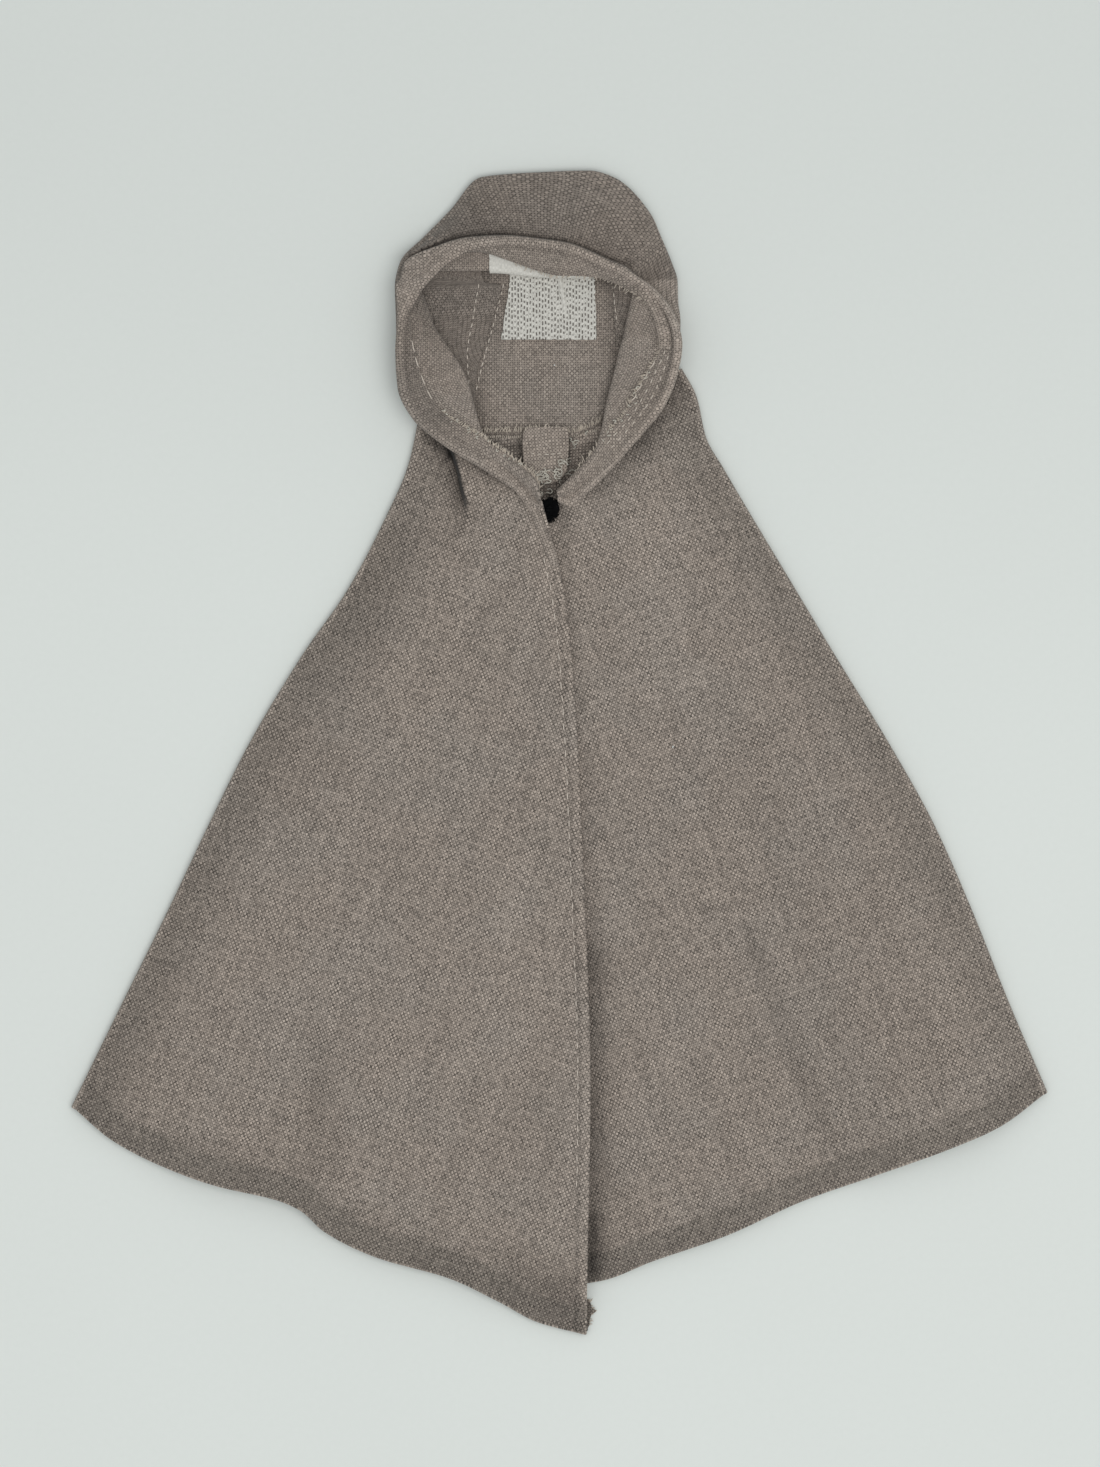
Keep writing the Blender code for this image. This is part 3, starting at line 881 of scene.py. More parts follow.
class Surface:
    """The top of some pieces, which threads are laid on."""

    def __init__(self, *pieces: Piece) -> None:
        """Reads the pieces' meshes.

        Args:
            pieces: The pieces that can be lain on.
        """
        corners: list[tuple[float, float, float]] = []
        polygons: list[tuple[int, ...]] = []
        for piece in pieces:
            start = len(corners)
            corners.extend(tuple(v.co) for v in piece.data.vertices)
            polygons.extend(tuple(start + i for i in p.vertices) for p in piece.data.polygons)
        self.tree = BVHTree.FromPolygons(corners, polygons)

    def laid(self, plan: Array, rise: float, above: float = 20.0) -> Array:
        """Lays a plan line on the pieces, or on the ground where none lies.

        Args:
            plan: Points in plan.
            rise: How far over the surface the line lies.
            above: Height from which to look down.

        Returns:
            The line's points.
        """
        levels = []
        for x, y in plan:
            start = Vector((x * MM, y * MM, above * MM))
            hit = self.tree.ray_cast(start, Vector((0.0, 0.0, -1.0)))[0]
            levels.append((hit.z / MM if hit is not None else 0.0) + rise)
        return lifted(plan, np.array(levels))


class Stitch(NamedTuple):
    """A stitch: its pitch in the row, the thread that shows and how deep its ends go."""

    pitch: float
    length: float
    sink: float


def stitches(path: Array, kind: Stitch, draw: random.Random) -> list[Array]:
    """Sets single stitches along a path that lies on the cloth.

    Args:
        path: Points on the cloth's surface.
        kind: The stitch.
        draw: Source of small differences.

    Returns:
        One short line for each stitch.
    """
    lengths = lengths_along(path)
    arch = np.sin(np.linspace(0, math.pi, 6))
    made = []
    place = kind.pitch * 0.4
    while place + kind.length < lengths[-1]:
        here = place + draw.uniform(-0.08, 0.08) * kind.pitch
        span = kind.length * draw.uniform(0.82, 1.12)
        line = points_at(path, lengths, here + np.linspace(0, span, 6))
        line[:, 2] += arch * kind.sink * draw.uniform(0.8, 1.2) - kind.sink * 0.55
        side = draw.uniform(-0.05, 0.05)
        line[:, 0] += np.linspace(-side, side, 6)
        made.append(line)
        place += kind.pitch
    return made


def frays(
    path: Array, out: Array, spacing: float, reach: Pair, draw: random.Random
) -> list[Array]:
    """Lets thread ends stand out of a raw edge.

    Args:
        path: Points along the edge.
        out: Unit vectors out of the edge, one for each point.
        spacing: Usual distance from end to end.
        reach: Shortest and longest end.
        draw: Source of differences.

    Returns:
        One short line for each thread end.
    """
    lengths = lengths_along(path)
    share = np.linspace(0, 1, 5)[:, None]
    made = []
    place = 0.0
    while place < lengths[-1]:
        root, away = points_at(path, lengths, place), points_at(out, lengths, place)
        side = np.array([-away[1], away[0], 0.0])
        long = draw.uniform(*reach) * (1.0 if draw.random() < 0.86 else 1.7)
        lean = draw.gauss(0.0, 0.45)
        bend = draw.gauss(0.0, 0.35)
        lift = draw.uniform(-0.05, 0.35)
        line = root + (away * share + side * (lean * share + bend * share**2)) * long
        line[:, 2] += lift * long * share[:, 0] - 0.05
        made.append(line - away * 0.25 * (1 - share))
        place += spacing * draw.uniform(0.4, 1.7)
    return made


def ride(piece: Piece) -> Piece:
    """Lets a piece ride on the garment's one body.

    Args:
        piece: The piece.

    Returns:
        The piece.
    """
    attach(piece, "root")
    LOG.info("%s: %d faces", piece.name, len(piece.data.polygons))
    return piece


def stand_in(sheet: ClothSheet, finish: Material, node: str) -> Piece:
    """Builds a cloth that stands for a CAD node.

    Args:
        sheet: The cloth.
        finish: Its material.
        node: The node's name.

    Returns:
        The piece.
    """
    piece = ride(sheet.build(finish))
    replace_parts(piece, node)
    return piece


# The body

class Edge(NamedTuple):
    """The fronts' middle edges at one height."""

    y: float
    over: float
    under: float


class Crease(NamedTuple):
    """A soft ridge, or a trough where rise is below 0, with its own width on each side."""

    x0: float
    y0: float
    x1: float
    y1: float
    left: float
    right: float
    rise: float


class Stroke(NamedTuple):
    """A soft stroke of painted shade, over hollows, cast shadows and layers under the cloth, or of
    painted light where depth is below 0.
    """

    x0: float
    y0: float
    x1: float
    y1: float
    half_width: float
    depth: float


class Lift(NamedTuple):
    """How far the hem stands off the surface at one place across."""

    x: float
    rise: float


class Section(NamedTuple):
    """One section through the hood's band, at an angle about the mouth's centre.

    The seam's place is in plan, and outer, fold, rim and raw are distances from the centre.
    """

    angle: float
    crown: bool
    seam_x: float
    seam_y: float
    outer: float
    fold: float
    rim: float
    raw: float
    base: float
    rim_z: float
    raw_z: float
    width: float = 2.4


class Outline(NamedTuple):
    """A front's four edges, the middle and the side from the neck down."""

    middle: Rows
    side: Rows
    neck: Sequence[Section]
    hem: Rows


# Places in plan: the hood mouth's centre, a point inside both fronts, and the snap
MOUTH = (-3.3, 72.9)
MIDDLE = (0.0, -40.0)
SNAP = (-1.8, 44.3)


def polar(angle: float, radius: float) -> Array:
    """Gives the plan point at an angle and a distance from the mouth's centre."""
    turn = math.radians(angle)
    return np.array([MOUTH[0] + radius * math.cos(turn), MOUTH[1] + radius * math.sin(turn)])


@dataclass
class Hood:
    """The hood: a band round the mouth, the panel at its back and the pleat across it."""

    finishes: Finishes
    sections: tuple[Section, ...] = tuple(starmap(Section, (
        (269.5, False, -3.7, 46.6, 27.8, 26.4, 29.1, 26.6, 2.5, 4.4, 4.2),
        (268, False, -4.2, 48.6, 26.4, 23.9, 28.9, 23.6, 2.4, 4.6, 4.3),
        (261, False, -6.8, 51.2, 24, 21.8, 26.2, 21.2, 2.3, 4.8, 4.5),
        (250, False, -10.2, 53.8, 22.3, 20.2, 24.4, 19.6, 2.1, 5, 4.6, 2.2),
        (241, False, -12.8, 55.8, 21.4, 19.5, 23.9, 19.2, 1.9, 5.2, 4.7, 2.1),
        (236, False, -13.8, 57.1, 21.1, 18.8, 24, 19, 1.8, 5.4, 4.8, 2),
        (231, False, -14.8, 58.6, 20.8, 17.7, 24.2, 19.2, 1.4, 5.6, 4.9, 1.9),
        (218, False, -15.3, 63, 23.2, 15.6, 25.2, 20.4, 0.6, 6, 5, 1.9),
        (208, False, -15.3, 66.5, 25.9, 14.7, 26.3, 21.4, 0.5, 6.4, 5.2, 1.9),
        (195, False, -14.5, 70.5, 26.3, 14.7, 26.7, 21.9, 0.5, 6.8, 5.5, 1.9),
        (180, False, -13.2, 75, 25.9, 16.6, 26.2, 22.9, 0.5, 7, 5.8, 1.8),
        (167, False, -11.6, 80, 26.6, 20, 26.5, 24.3, 0.5, 7, 5.8, 1.9),
        (156, False, -10.4, 84.4, 28.5, 23.2, 28.4, 25.4, 0.5, 6.8, 5.5, 4.2),
        (148, True, -13.6, 85.3, 29.8, 28.9, 26.1, 25.6, 0.5, 6.6, 5.4, 5),
        (136, True, -14.1, 87.6, 29.3, 26.8, 24.5, 24.6, 0.5, 6.6, 5.3, 3.4),
        (123, True, -14.1, 93.6, 30, 24.3, 22.7, 21.1, 0.5, 6.6, 5.1, 2.1),
        (109, True, -10, 93.6, 32.9, 22, 20.6, 16.9, 0.5, 6.6, 4.9, 1.6),
        (90, True, -3.3, 93.6, 32, 20.2, 18.95, 14.05, 0.5, 6.6, 4.8, 1.3),
        (75, True, 1.5, 93.6, 33.4, 20.1, 18.8, 13.8, 0.5, 6.6, 4.8, 1.3),
        (67, True, 3.6, 93.6, 33.7, 20.1, 18.8, 14.5, 0.5, 6.6, 4.8, 1.3),
        (51, True, 8.9, 93.6, 31.4, 20.8, 19.3, 16.7, 0.5, 6.7, 5.2, 1.5),
        (44, True, 9.1, 90.6, 29.8, 22, 20.2, 17.6, 0.5, 6.8, 5.3, 1.6),
        (34, False, 9.6, 86.6, 28.3, 20.2, 22.2, 19.2, 0.5, 6.9, 5.4, 1.6),
        (27, False, 9.7, 84.6, 27.5, 18.2, 23.3, 20.3, 0.5, 6.9, 5.8, 1.6),
        (20, False, 9.7, 82.4, 26.2, 16.6, 24.2, 21.5, 0.5, 7, 6.1, 1.6),
        (12, False, 9.7, 80, 25.6, 15.5, 25, 22.1, 0.5, 7, 6.1, 1.6),
        (2, False, 10.1, 76, 25, 14.4, 25.4, 21.6, 0.5, 7, 5.8, 1.7),
        (-12, False, 10.4, 70, 23.6, 13.9, 24.9, 19.6, 0.5, 6.8, 5.2, 1.8),
        (-26, False, 10.5, 65, 21.2, 14.2, 24.4, 18.8, 0.5, 6.6, 5, 1.8),
        (-39, False, 9.2, 61, 19.9, 15.3, 23.8, 19.1, 0.6, 6.2, 4.9, 1.8),
        (-51, False, 7.9, 58.6, 19.8, 17.7, 24.1, 19.2, 1.4, 5.7, 4.8, 1.8),
        (-56, False, 7.3, 57.1, 20.8, 19, 24.6, 19.7, 1.8, 5.4, 4.7, 1.9),
        (-61, False, 6.5, 55.2, 21.9, 20.3, 25.2, 20.4, 1.9, 5.1, 4.5, 2),
        (-71, False, 4, 51.8, 24.2, 22.3, 26.9, 22.2, 2.1, 4.7, 4.2, 2.2),
        (-80, False, 1, 48.8, 26.4, 24.5, 28.7, 24.4, 2.2, 4.2, 3.9, 2.3),
        (-83.5, False, -0.2, 47.6, 26.8, 25.6, 27.6, 25.5, 2.2, 3.9, 3.7, 2.3),
    )))
    stations: int = 420
    steps: int = 6
    layer: float = 1.45
    roll: float = 0.62
    neck_y: float = 57.2
    seam_under: float = 1.0
    pleat_left: float = -23.6
    pleat_fold_y: float = 90.0
    pleat_edge_y: float = 85.9
    pleat_top_y: float = 93.2
    pleat_right: float = 8.6
    under_pleat: int = 60
    rim_point: int = 14
    roll_path: Rows = (
        (-13.6, 53.2, 4.25), (-11.2, 51.7, 4.3), (-9.1, 50, 4.3), (-6.8, 47.3, 4.2),
        (-5, 44.6, 4.05), (-3.75, 42, 3.8), (-2.75, 39.4, 3.4), (-1.6, 36.6, 2.95),
        (-0.9, 33.8, 2.55), (-0.3, 30.6, 2.2),
    )
    curl_path: Rows = (
        (14.9, 84.2, 5.7), (16.3, 82, 6.15), (17.6, 79.4, 6.4),
        (18.5, 76.8, 6.45), (18.9, 74.6, 6.3), (18.8, 72.9, 6.05),
    )
    strip_flat: Pair = (0.190, 0.045)
    back_flat: Pair = (0.034, 0.046)
    areas: dict[str, float] = field(default_factory=dict)

    def profile(self, row: Section) -> Array:
        """Draws one section of the band, from its back seam to its raw edge.

        Args:
            row: The section's sizes.

        Returns:
            Control points in space.
        """
        centre, seam = np.array(MOUTH), np.array([row.seam_x, row.seam_y])
        away = polar(row.angle, 1.0) - centre
        low, second = row.base, row.base + self.layer
        bend = self.layer / 2
        outer = row.outer - HALF - bend
        crest, roll = row.rim_z - HALF, self.roll
        wide = float(ease(row.width, 2.4, 4.2))
        spots = [(outer, low), (outer + bend, low + bend), (outer, second)]
        if row.crown:
            climb = crest - second
            half = row.width / 2
            inner = row.rim - half
            spots += [
                (outer * 0.66 + row.fold * 0.34, second + 0.36 * climb),
                (outer * 0.30 + row.fold * 0.70, second + 0.50 * climb),
                (row.fold + 0.5, second + 0.44 * climb),
                (row.fold, second + 0.34 * climb),
                (row.rim + half + 0.25, second + 0.40 * climb),
                (row.rim + half + 0.05, second + 0.62 * climb),
                (row.rim + half, crest - roll * (0.8 + 0.4 * wide)),
                (inner + min(0.75 * row.width, 1.8), crest - roll * (0.2 + 0.85 * wide)),
                (inner + min(0.42 * row.width, 0.85), crest),
                (inner, crest - roll * 0.8),
                (row.rim * 0.5 + row.raw * 0.5 - half * 0.6, (crest + row.raw_z) / 2 - 0.3),
                (row.raw, row.raw_z - 0.5),
            ]
        else:
            third = second + self.layer
            fold = row.fold + bend
            end, top = row.rim - HALF - roll, crest - 2 * roll
            inner = row.rim - row.width
            spots += [
                ((outer + fold) / 2, second + 0.15),
                (fold, second),
                (fold - bend, second + bend),
                (fold, third),
                (fold + (end - fold) * 0.35, third + (top - third) * 0.30),
                (fold + (end - fold) * 0.70, third + (top - third) * 0.75),
                (end, top),
                (row.rim - HALF, crest - roll * (1.0 + 0.3 * wide)),
                (end * (1 - wide) + (inner + 0.9) * wide, crest),
                (inner, crest - 0.55),
                (inner * 0.45 + row.raw * 0.55, (crest + row.raw_z) / 2 - 0.35),
                (row.raw, row.raw_z - HALF),
            ]
        start = [
            (*seam, low + 0.28 * (low < 1.2)),
            (*((seam + centre + away * outer) / 2), low),
        ]
        return np.array(start + [(*(centre + away * radius), level) for radius, level in spots])

    def band(self) -> ClothSheet:
        """Makes the band: its sections swept round the mouth.

        Returns:
            The band's cloth.
        """
        angles = np.array([row.angle for row in self.sections], float)
        drawn = np.array([self.profile(row) for row in self.sections])
        sweep = np.linspace(-angles[0], -angles[-1], self.stations)
        middle = flowing(through(-angles, drawn, sweep), self.steps)
        x, y, z = middle[..., 0], middle[..., 1], middle[..., 2]
        z += 0.10 * ripple(x, y, 5, 7.0) * ease(z, 1.5, 4.0)
        down = np.linalg.norm(np.diff(middle, axis=1), axis=2)
        down = np.concatenate([np.zeros((self.stations, 1)), np.cumsum(down, axis=1)], axis=1)
        rim_at = self.rim_point * self.steps
        run = lengths_along(middle[:, rim_at])
        cut = spread(run[:, None], down - down[:, rim_at, None])
        share = np.arange(middle.shape[1]) / self.steps
        return ClothSheet("hood_band_cloth", middle, cut, self.band_marks(middle, sweep, share))

    def band_marks(self, middle: Array, sweep: Array, share: Array) -> Array:
        """Marks where the band is doubled, paints shade in its folds, pockets and under its rim,
        and paints highlights on its roll and flaps.

        Args:
            middle: The band's points.
            sweep: Each row's angle, turned the other way round.
            share: Each column's place down the section, in control points.

        Returns:
            The marks.
        """
        def by_turn(turns: Sequence[float], values: Sequence[float]) -> Array:
            """Reads a strength that changes round the mouth."""
            return through(turns, values, sweep)[:, None]

        crown = by_turn([-s.angle for s in self.sections], [float(s.crown) for s in self.sections])
        # Strengths round the mouth of the painted shade on the roll's turning, the folded inner
        # panel, the groove by the raw edge and the raw edge
        facing = by_turn(
            [-270, -232, -216, -175, -158, -30, 0, 84],
            [0.1, 0.12, 0.36, 0.4, 0.06, 0, 0.1, 0],
        )
        panel = by_turn(
            [-270, -225, -210, -195, -180, -170, -160, -30, -20, -10, 0, 10, 15, 84],
            [0, 0, 0.02, 0.08, 0.24, 0.5, 0.6, 0.9, 0.85, 0.5, 0.1, 0, 0, 0],
        )
        furrow = by_turn(
            [-270, -256, -228, -215, -200, -178, -165, -155, -30, -24, 0, 10, 20, 32, 42, 84],
            [0, 0.34, 0.3, 0.25, 0.35, 0.7, 0.55, 0.1, 0.2, 0.85, 0.85, 0.75, 0.6, 0.35, 0.1, 0],
        )
        raw = by_turn([-270, -228, -214, 30, 45, 84], [0.0, 0.0, 1.0, 1.0, 0.0, 0.0])
        top_left = bell(sweep, -122.0, 17.0)[:, None]
        # Painted shade down the sides' sections on the low layers, the folded panel, the turning
        # and the groove; on the crown, painted shade by its slope, in its valley and under the rim
        low = 0.6 * fade(share, 5.0, 6.8)
        folded = ease(share, 6.6, 7.4) * fade(share, 10.5, 11.5)
        groove = furrow * bell(share, 14.0, 0.42) + 0.12 * raw * ease(share, 14.2, 15.0)
        side = low + panel * folded + facing * ease(share, 11.2, 12.2) + groove
        places = [0, 2, 4, 5, 6, 7, 8.5, 10, 11, 16]
        slope = through(places, [0.5, 0.3, 0.36, 0.45, 0.55, 0.7, 0.8, 0.4, 0.04, 0.1], share)
        valley = ease(share, 3.0, 5.0) * fade(share, 9.5, 10.5)
        under_rim = by_turn([-270, -136, -118, -60, -36, 84], [0.0, 0.0, 0.5, 0.45, 0.3, 0.0])
        over = slope + 0.3 * top_left * valley + under_rim * bell(share, 14.15, 0.3)
        # The flaps get painted light: most of their painted shade is taken away and the highlight
        # mark is set; gleam is a painted highlight on the roll's turning
        flap = ease(85.7 - middle[..., 1], 0.0, 0.5) * ease(middle[..., 0], 10.0, 14.0)
        flap = flap * fade(share, 10.2, 11.0) * ease(sweep, -46.0, -40.0)[:, None]
        flap = flap * fade(sweep, -4.0, 4.0)[:, None]
        gleam = by_turn(
            [-270, -110, -60, -20, -6, 24, 50, 84], [0, 0, 0.1, 0.1, 0.3, 0.24, 0, 0]
        )
        gleam = gleam * (ease(share, 11.4, 12.2) * fade(share, 13.4, 14.0))
        marks = np.zeros(middle.shape)
        # Doubled along the raw edge, painted highlight on the roll and the flaps, painted shade
        # elsewhere
        marks[..., 0] = 0.25 * raw * ease(share, 14.0, 15.0)
        marks[..., 1] = ease(share, 11.8, 12.6) * fade(share, 13.6, 14.6) * (1 - flap) + 0.9 * flap
        shade = np.clip(side * (1 - crown) + over * crown, 0, 0.95)
        marks[..., 2] = shade * (1 - 0.95 * flap) - gleam
        return marks

    def seam(self, y: float, left: bool) -> float:
        """Finds where the band's back seam runs at a height.

        Args:
            y: The height.
            left: Whether the left seam is asked for.

        Returns:
            Its place across.
        """
        rows = [s for s in self.sections if not s.crown and (s.angle > 90) == left]
        return float(read(sorted((s.seam_y, s.seam_x) for s in rows), y))

    def pleated(self, rise: float) -> Array:
        """Draws the hood back from the neck up, with its pleat, in height and level.

        Args:
            rise: How far outside its middle the line lies.

        Returns:
            Points (y, z) along it.
        """
        low, second, third = 0.5, 2.1, 2.9
        inner = (second - low) / 2
        edge = (third - second) / 2
        fold_y, edge_y = self.pleat_fold_y, self.pleat_edge_y + 0.5
        half_turn = np.linspace(0, math.pi, 9)[1:]
        line = [(y, low + rise) for y in np.linspace(self.neck_y, fold_y, self.under_pleat)]
        for turn in half_turn:
            reach = inner - rise
            line.append((fold_y + reach * math.sin(turn), low + inner - reach * math.cos(turn)))
        line += [(y, second - rise) for y in np.linspace(fold_y, edge_y, 10)[1:]]
        for turn in half_turn:
            reach = edge + rise
            line.append((edge_y - reach * math.sin(turn), second + edge - reach * math.cos(turn)))
        for y in np.linspace(edge_y, self.pleat_top_y, 16)[1:]:
            line.append((y, third + rise + 0.05 * (y - self.pleat_edge_y)))
        return np.array(line)

    def pleat_shift(self, x: Array, y: Array | float, z: Array | float) -> Array:
        """Bends the pleat's edge, which lies higher at the left.

        Args:
            x: Places across.
            y: Places up, on the straight pleat.
            z: Levels there.

        Returns:
            How far each place moves up.
        """
        bend = read(((-24.0, 1.3), (-12.0, 1.3), (-3.0, 0.5), (7.0, 0.3)), x)
        return bend * ease(z, 1.2, 2.0) * fade(y, 87.0, 91.0)

    def back(self) -> ClothSheet:
        """Makes the panel at the back of the head with its pleat.

        Returns:
            The panel's cloth.
        """
        line = self.pleated(0.0)
        shares = np.linspace(0, 1, 48)
        middle = np.zeros((len(line), len(shares), 3))
        marks = np.zeros(middle.shape)
        for i, (y, z) in enumerate(line):
            left = self.seam(min(y, self.pleat_edge_y), True) - self.seam_under
            right = self.seam(min(y, self.pleat_edge_y), False) + self.seam_under
            on_top = ease(z, 1.4, 2.0)
            left -= 3.8 * ease(y, 84.0, 85.4)
            left += (self.pleat_left - left) * on_top
            right += (self.pleat_right - right) * on_top
            x = left + (right - left) * shares
            from_side = np.minimum(x - left, right - x)
            sunk = 0.24 * fade(from_side, 0.6, 2.2) * (1 - on_top)
            raised = 0.2 * fade(y, 57.5, 60.5) * (1 - on_top) * ease(from_side, 0.6, 2.2)
            wave = 0.05 * ripple(x, y, 3, 6.0) * ease(from_side, 0.6, 2.2)
            middle[i] = spread(x, y + self.pleat_shift(x, y, z), z - sunk + raised + wave)
            # Painted shade in the pockets beside the band's folds and under the pleat's edge, and a
            # little all over
            pocket = 0.42 * fade(x - left, 1.2, 5.5) + 0.42 * fade(right - x, 1.2, 4.5)
            marks[i, :, 2] = 0.1 + (pocket + 0.32 * ease(y, 83.0, 85.6)) * (1 - on_top)
        cut = spread(middle[..., 0], -lengths_along(line)[:, None])
        return ClothSheet("hood_back_cloth", middle, cut, marks)

    @staticmethod
    def rolled(name: str, line: Rows, wide: float, high: float) -> ClothSheet:
        """Makes a folded roll of cloth that is open below.

        Args:
            name: Its name.
            line: Points along its middle.
            wide: Half its width.
            high: Half its height.

        Returns:
            The roll's cloth.
        """
        path = flowing(np.array(line), 10)
        run = unit(np.gradient(path, axis=0))
        side = unit(spread(-run[:, 1], run[:, 0], 0.0))
        lengths = lengths_along(path)
        share = lengths / lengths[-1]
        width = wide * (1 + 0.09 * np.sin(share * 9.0 + wide))
        height = high * (1 - 0.27 * ease(share, 0.7, 1.0))
        turns = np.linspace(-0.25 * math.pi, 1.25 * math.pi, 22)
        middle = path[:, None] + side[:, None] * (np.cos(turns)[:, None] * width[:, None, None])
        middle[..., 2] += np.sin(turns) * height[:, None]
        cut = spread(lengths[:, None], turns * 0.7)
        marks = np.zeros(middle.shape)
        # Painted highlight all along the roll
        marks[..., 1] = 0.5
        return ClothSheet(name, middle[:, ::-1], cut[:, ::-1], marks, thickness=0.3)

    def build(self) -> dict[str, Piece]:
        """Builds the hood's cloths.

        Returns:
            The pieces by name.
        """
        made = {}
        for name, sheet in (("back", self.back()), ("band", self.band())):
            made[name] = stand_in(sheet, self.finishes.hood, f"hood_{name}")
            self.areas[name] = sheet.area()
        roll = self.rolled("rim_edge_roll", self.roll_path, 0.72, 0.52)
        curl = self.rolled("rim_raw_curl", self.curl_path, 0.95, 0.62)
        for name, sheet in (("roll", roll), ("curl", curl)):
            made[name] = ride(sheet.build(self.finishes.hood))
        return made

    def declare(self, made: dict[str, Piece], needlework: Sequence[Piece]) -> None:
        """Args:
            made: The hood's pieces; not used.
            needlework: The stitches and frays on it; not used.
        """


@dataclass
class Body:
    """The fronts and the back below the neck."""

    finishes: Finishes
    hood: Hood
    left_side: Rows = (
        (-25.4, 60.8), (-26, 57.4), (-27.3, 52), (-31.2, 43), (-38, 30), (-46.3, 18),
        (-55.9, 2), (-62.9, -12), (-70.5, -28), (-78.4, -44), (-87.8, -63.2),
    )
    right_side: Rows = (
        (22, 69.6), (24.7, 64.5), (26.4, 57.2), (29.6, 51.5), (34.6, 43), (42.4, 30),
        (49.6, 18), (59.4, 2), (67.2, -12), (74.3, -28), (80.7, -44), (87.8, -60.6),
    )
    left_hem: Rows = (
        (-80.6, -69), (-72.8, -73.2), (-62, -77.2), (-50.6, -79.9), (-46.4, -81.8),
        (-42.2, -85.6), (-33.1, -90.1), (-19.6, -94), (-10.6, -98.3), (-4, -101.8),
    )
    right_hem: Rows = (
        (79.4, -66.5), (70.4, -70.5), (56.9, -75.4), (43.4, -80.2), (29.9, -86.3),
        (16.4, -91), (8, -94.3),
    )
    edges: tuple[Edge, ...] = tuple(starmap(Edge, (
        (45.6, -3.3, -4.6), (41, -2.1, -4.5), (38, -1.35, -4.4), (27, 1, -3.4),
        (10, 2.6, -2.2), (-20, 4.1, -1), (-60, 5.4, 0.6), (-95, 4.8, 1.6),
    )))
    over_end: Pair = (4.7, -104.1)
    under_end: Pair = (1.6, -95.3)
    creases: tuple[Crease, ...] = tuple(starmap(Crease, (
        (-27, 24, -52, -34, 12, 12, 0.9),
        (-15, 5, -28, -80, 10, 10, 1.2),
        (-54, -38, -63, -72, 7.5, 7.5, 1.2),
        (-38, -48, -38.5, -76, 3.4, 9, 1.7),
        (-44.5, -50, -46, -76, 5, 2.2, -0.9),
        (-13.2, -12, -15.8, -29, 1.6, 2.6, -0.35),
        (-24, -8, -31, -30, 3, 2.4, 0.35),
        (-20.5, -40, -23.5, -62, 2, 3, -0.3),
        (-50, -12, -57, -34, 2.4, 3.2, -0.4),
        (-33, 33, -41, 20, 2.6, 2.2, -0.35),
        (25, 30, 34, -76, 10, 10, 1.2),
        (56, -10, 71, -62, 8, 8, 1.3),
        (15, -30, 14, -84, 7, 7, 0.9),
        (38.5, -30, 54, -70, 3.2, 8, 1.4),
        (30, -28, 45.5, -72, 4.5, 2.6, -0.9),
        (66, -30, 78.5, -55, 4.5, 2.2, 1),
        (16.8, 23, 19.4, 11, 1.5, 2, -0.4),
        (13, 32, 14.4, 24, 1.6, 2, -0.3),
        (41, -2, 45, -22, 2.6, 3.4, -0.45),
        (52, -32, 60, -56, 2.6, 2.6, -0.4),
        (22, 46, 32, 30, 2.2, 3, -0.45),
        (12, 46, 17, 30, 2.6, 2.6, 0.4),
        (21, 66, 8, 49, 3, 3.4, -0.8),
    )))
    # Painted shade on the upper front, under the rim's edge, beside the tuck, along troughs and at
    # the hem's tip; a depth below 0 paints light
    left_strokes: tuple[Stroke, ...] = tuple(starmap(Stroke, (
        (-15.8, 42.7, -13.2, 43.1, 0.5, 0.22),
        (-26, 42, -42, 14, 6.5, 0.14),
        (-30.5, 26, -46, -14, 2.6, 0.11),
        (-43.2, -50, -44.2, -74, 1.9, 0.24),
        (-1, -97.5, 4.2, -103, 3.6, 0.3),
        (-8, -92, 1, -96, 3.6, 0.32),
        (-24, -90.5, -8, -97, 3, 0.16),
        (-87, -62, -79, -65.5, 4, -0.14),
        (-7, -24, -7.5, -50, 5.5, -0.14),
        (-24.5, 57.4, -19.8, 54.1, 0.9, 0.45),
        (-19.5, 54, -13.4, 50.8, 0.8, 0.5),
        (-13.4, 50.8, -7.1, 47.2, 0.8, 0.45),
        (-15.5, -14, -15.8, -28, 1, 0.12),
        (-28, -10, -32, -30, 1.2, 0.08),
    )))
    # Painted shade on the under front, beside the band, along the upper front's edge, in troughs,
    # at the hem and in a notch; a depth below 0 paints light
    right_strokes: tuple[Stroke, ...] = tuple(starmap(Stroke, (
        (21.5, 67, 14.5, 57.5, 3.6, 0.5),
        (16, 59, 5.5, 47.5, 2.2, 0.36),
        (0.5, 41, 4, 6, 1.2, 0.25),
        (4.9, 0, 6.2, -40, 1.7, 0.28),
        (6.3, -36, 6.5, -92, 2.2, 0.64),
        (6, -83, 5.8, -94, 1.3, 0.7),
        (-3.5, 50.5, -0.8, 46.5, 1.8, 0.6),
        (25.2, 57.4, 24, 57.2, 0.28, 0.8),
        (34, -32, 49, -69, 2, 0.26),
        (34, 2, 55, -66, 6.5, 0.13),
        (17, 38, 20.5, 14, 5.5, -0.14),
        (72, -36, 79, -55, 5, -0.16),
        (8, -92.5, 30, -84, 3, 0.14),
    )))
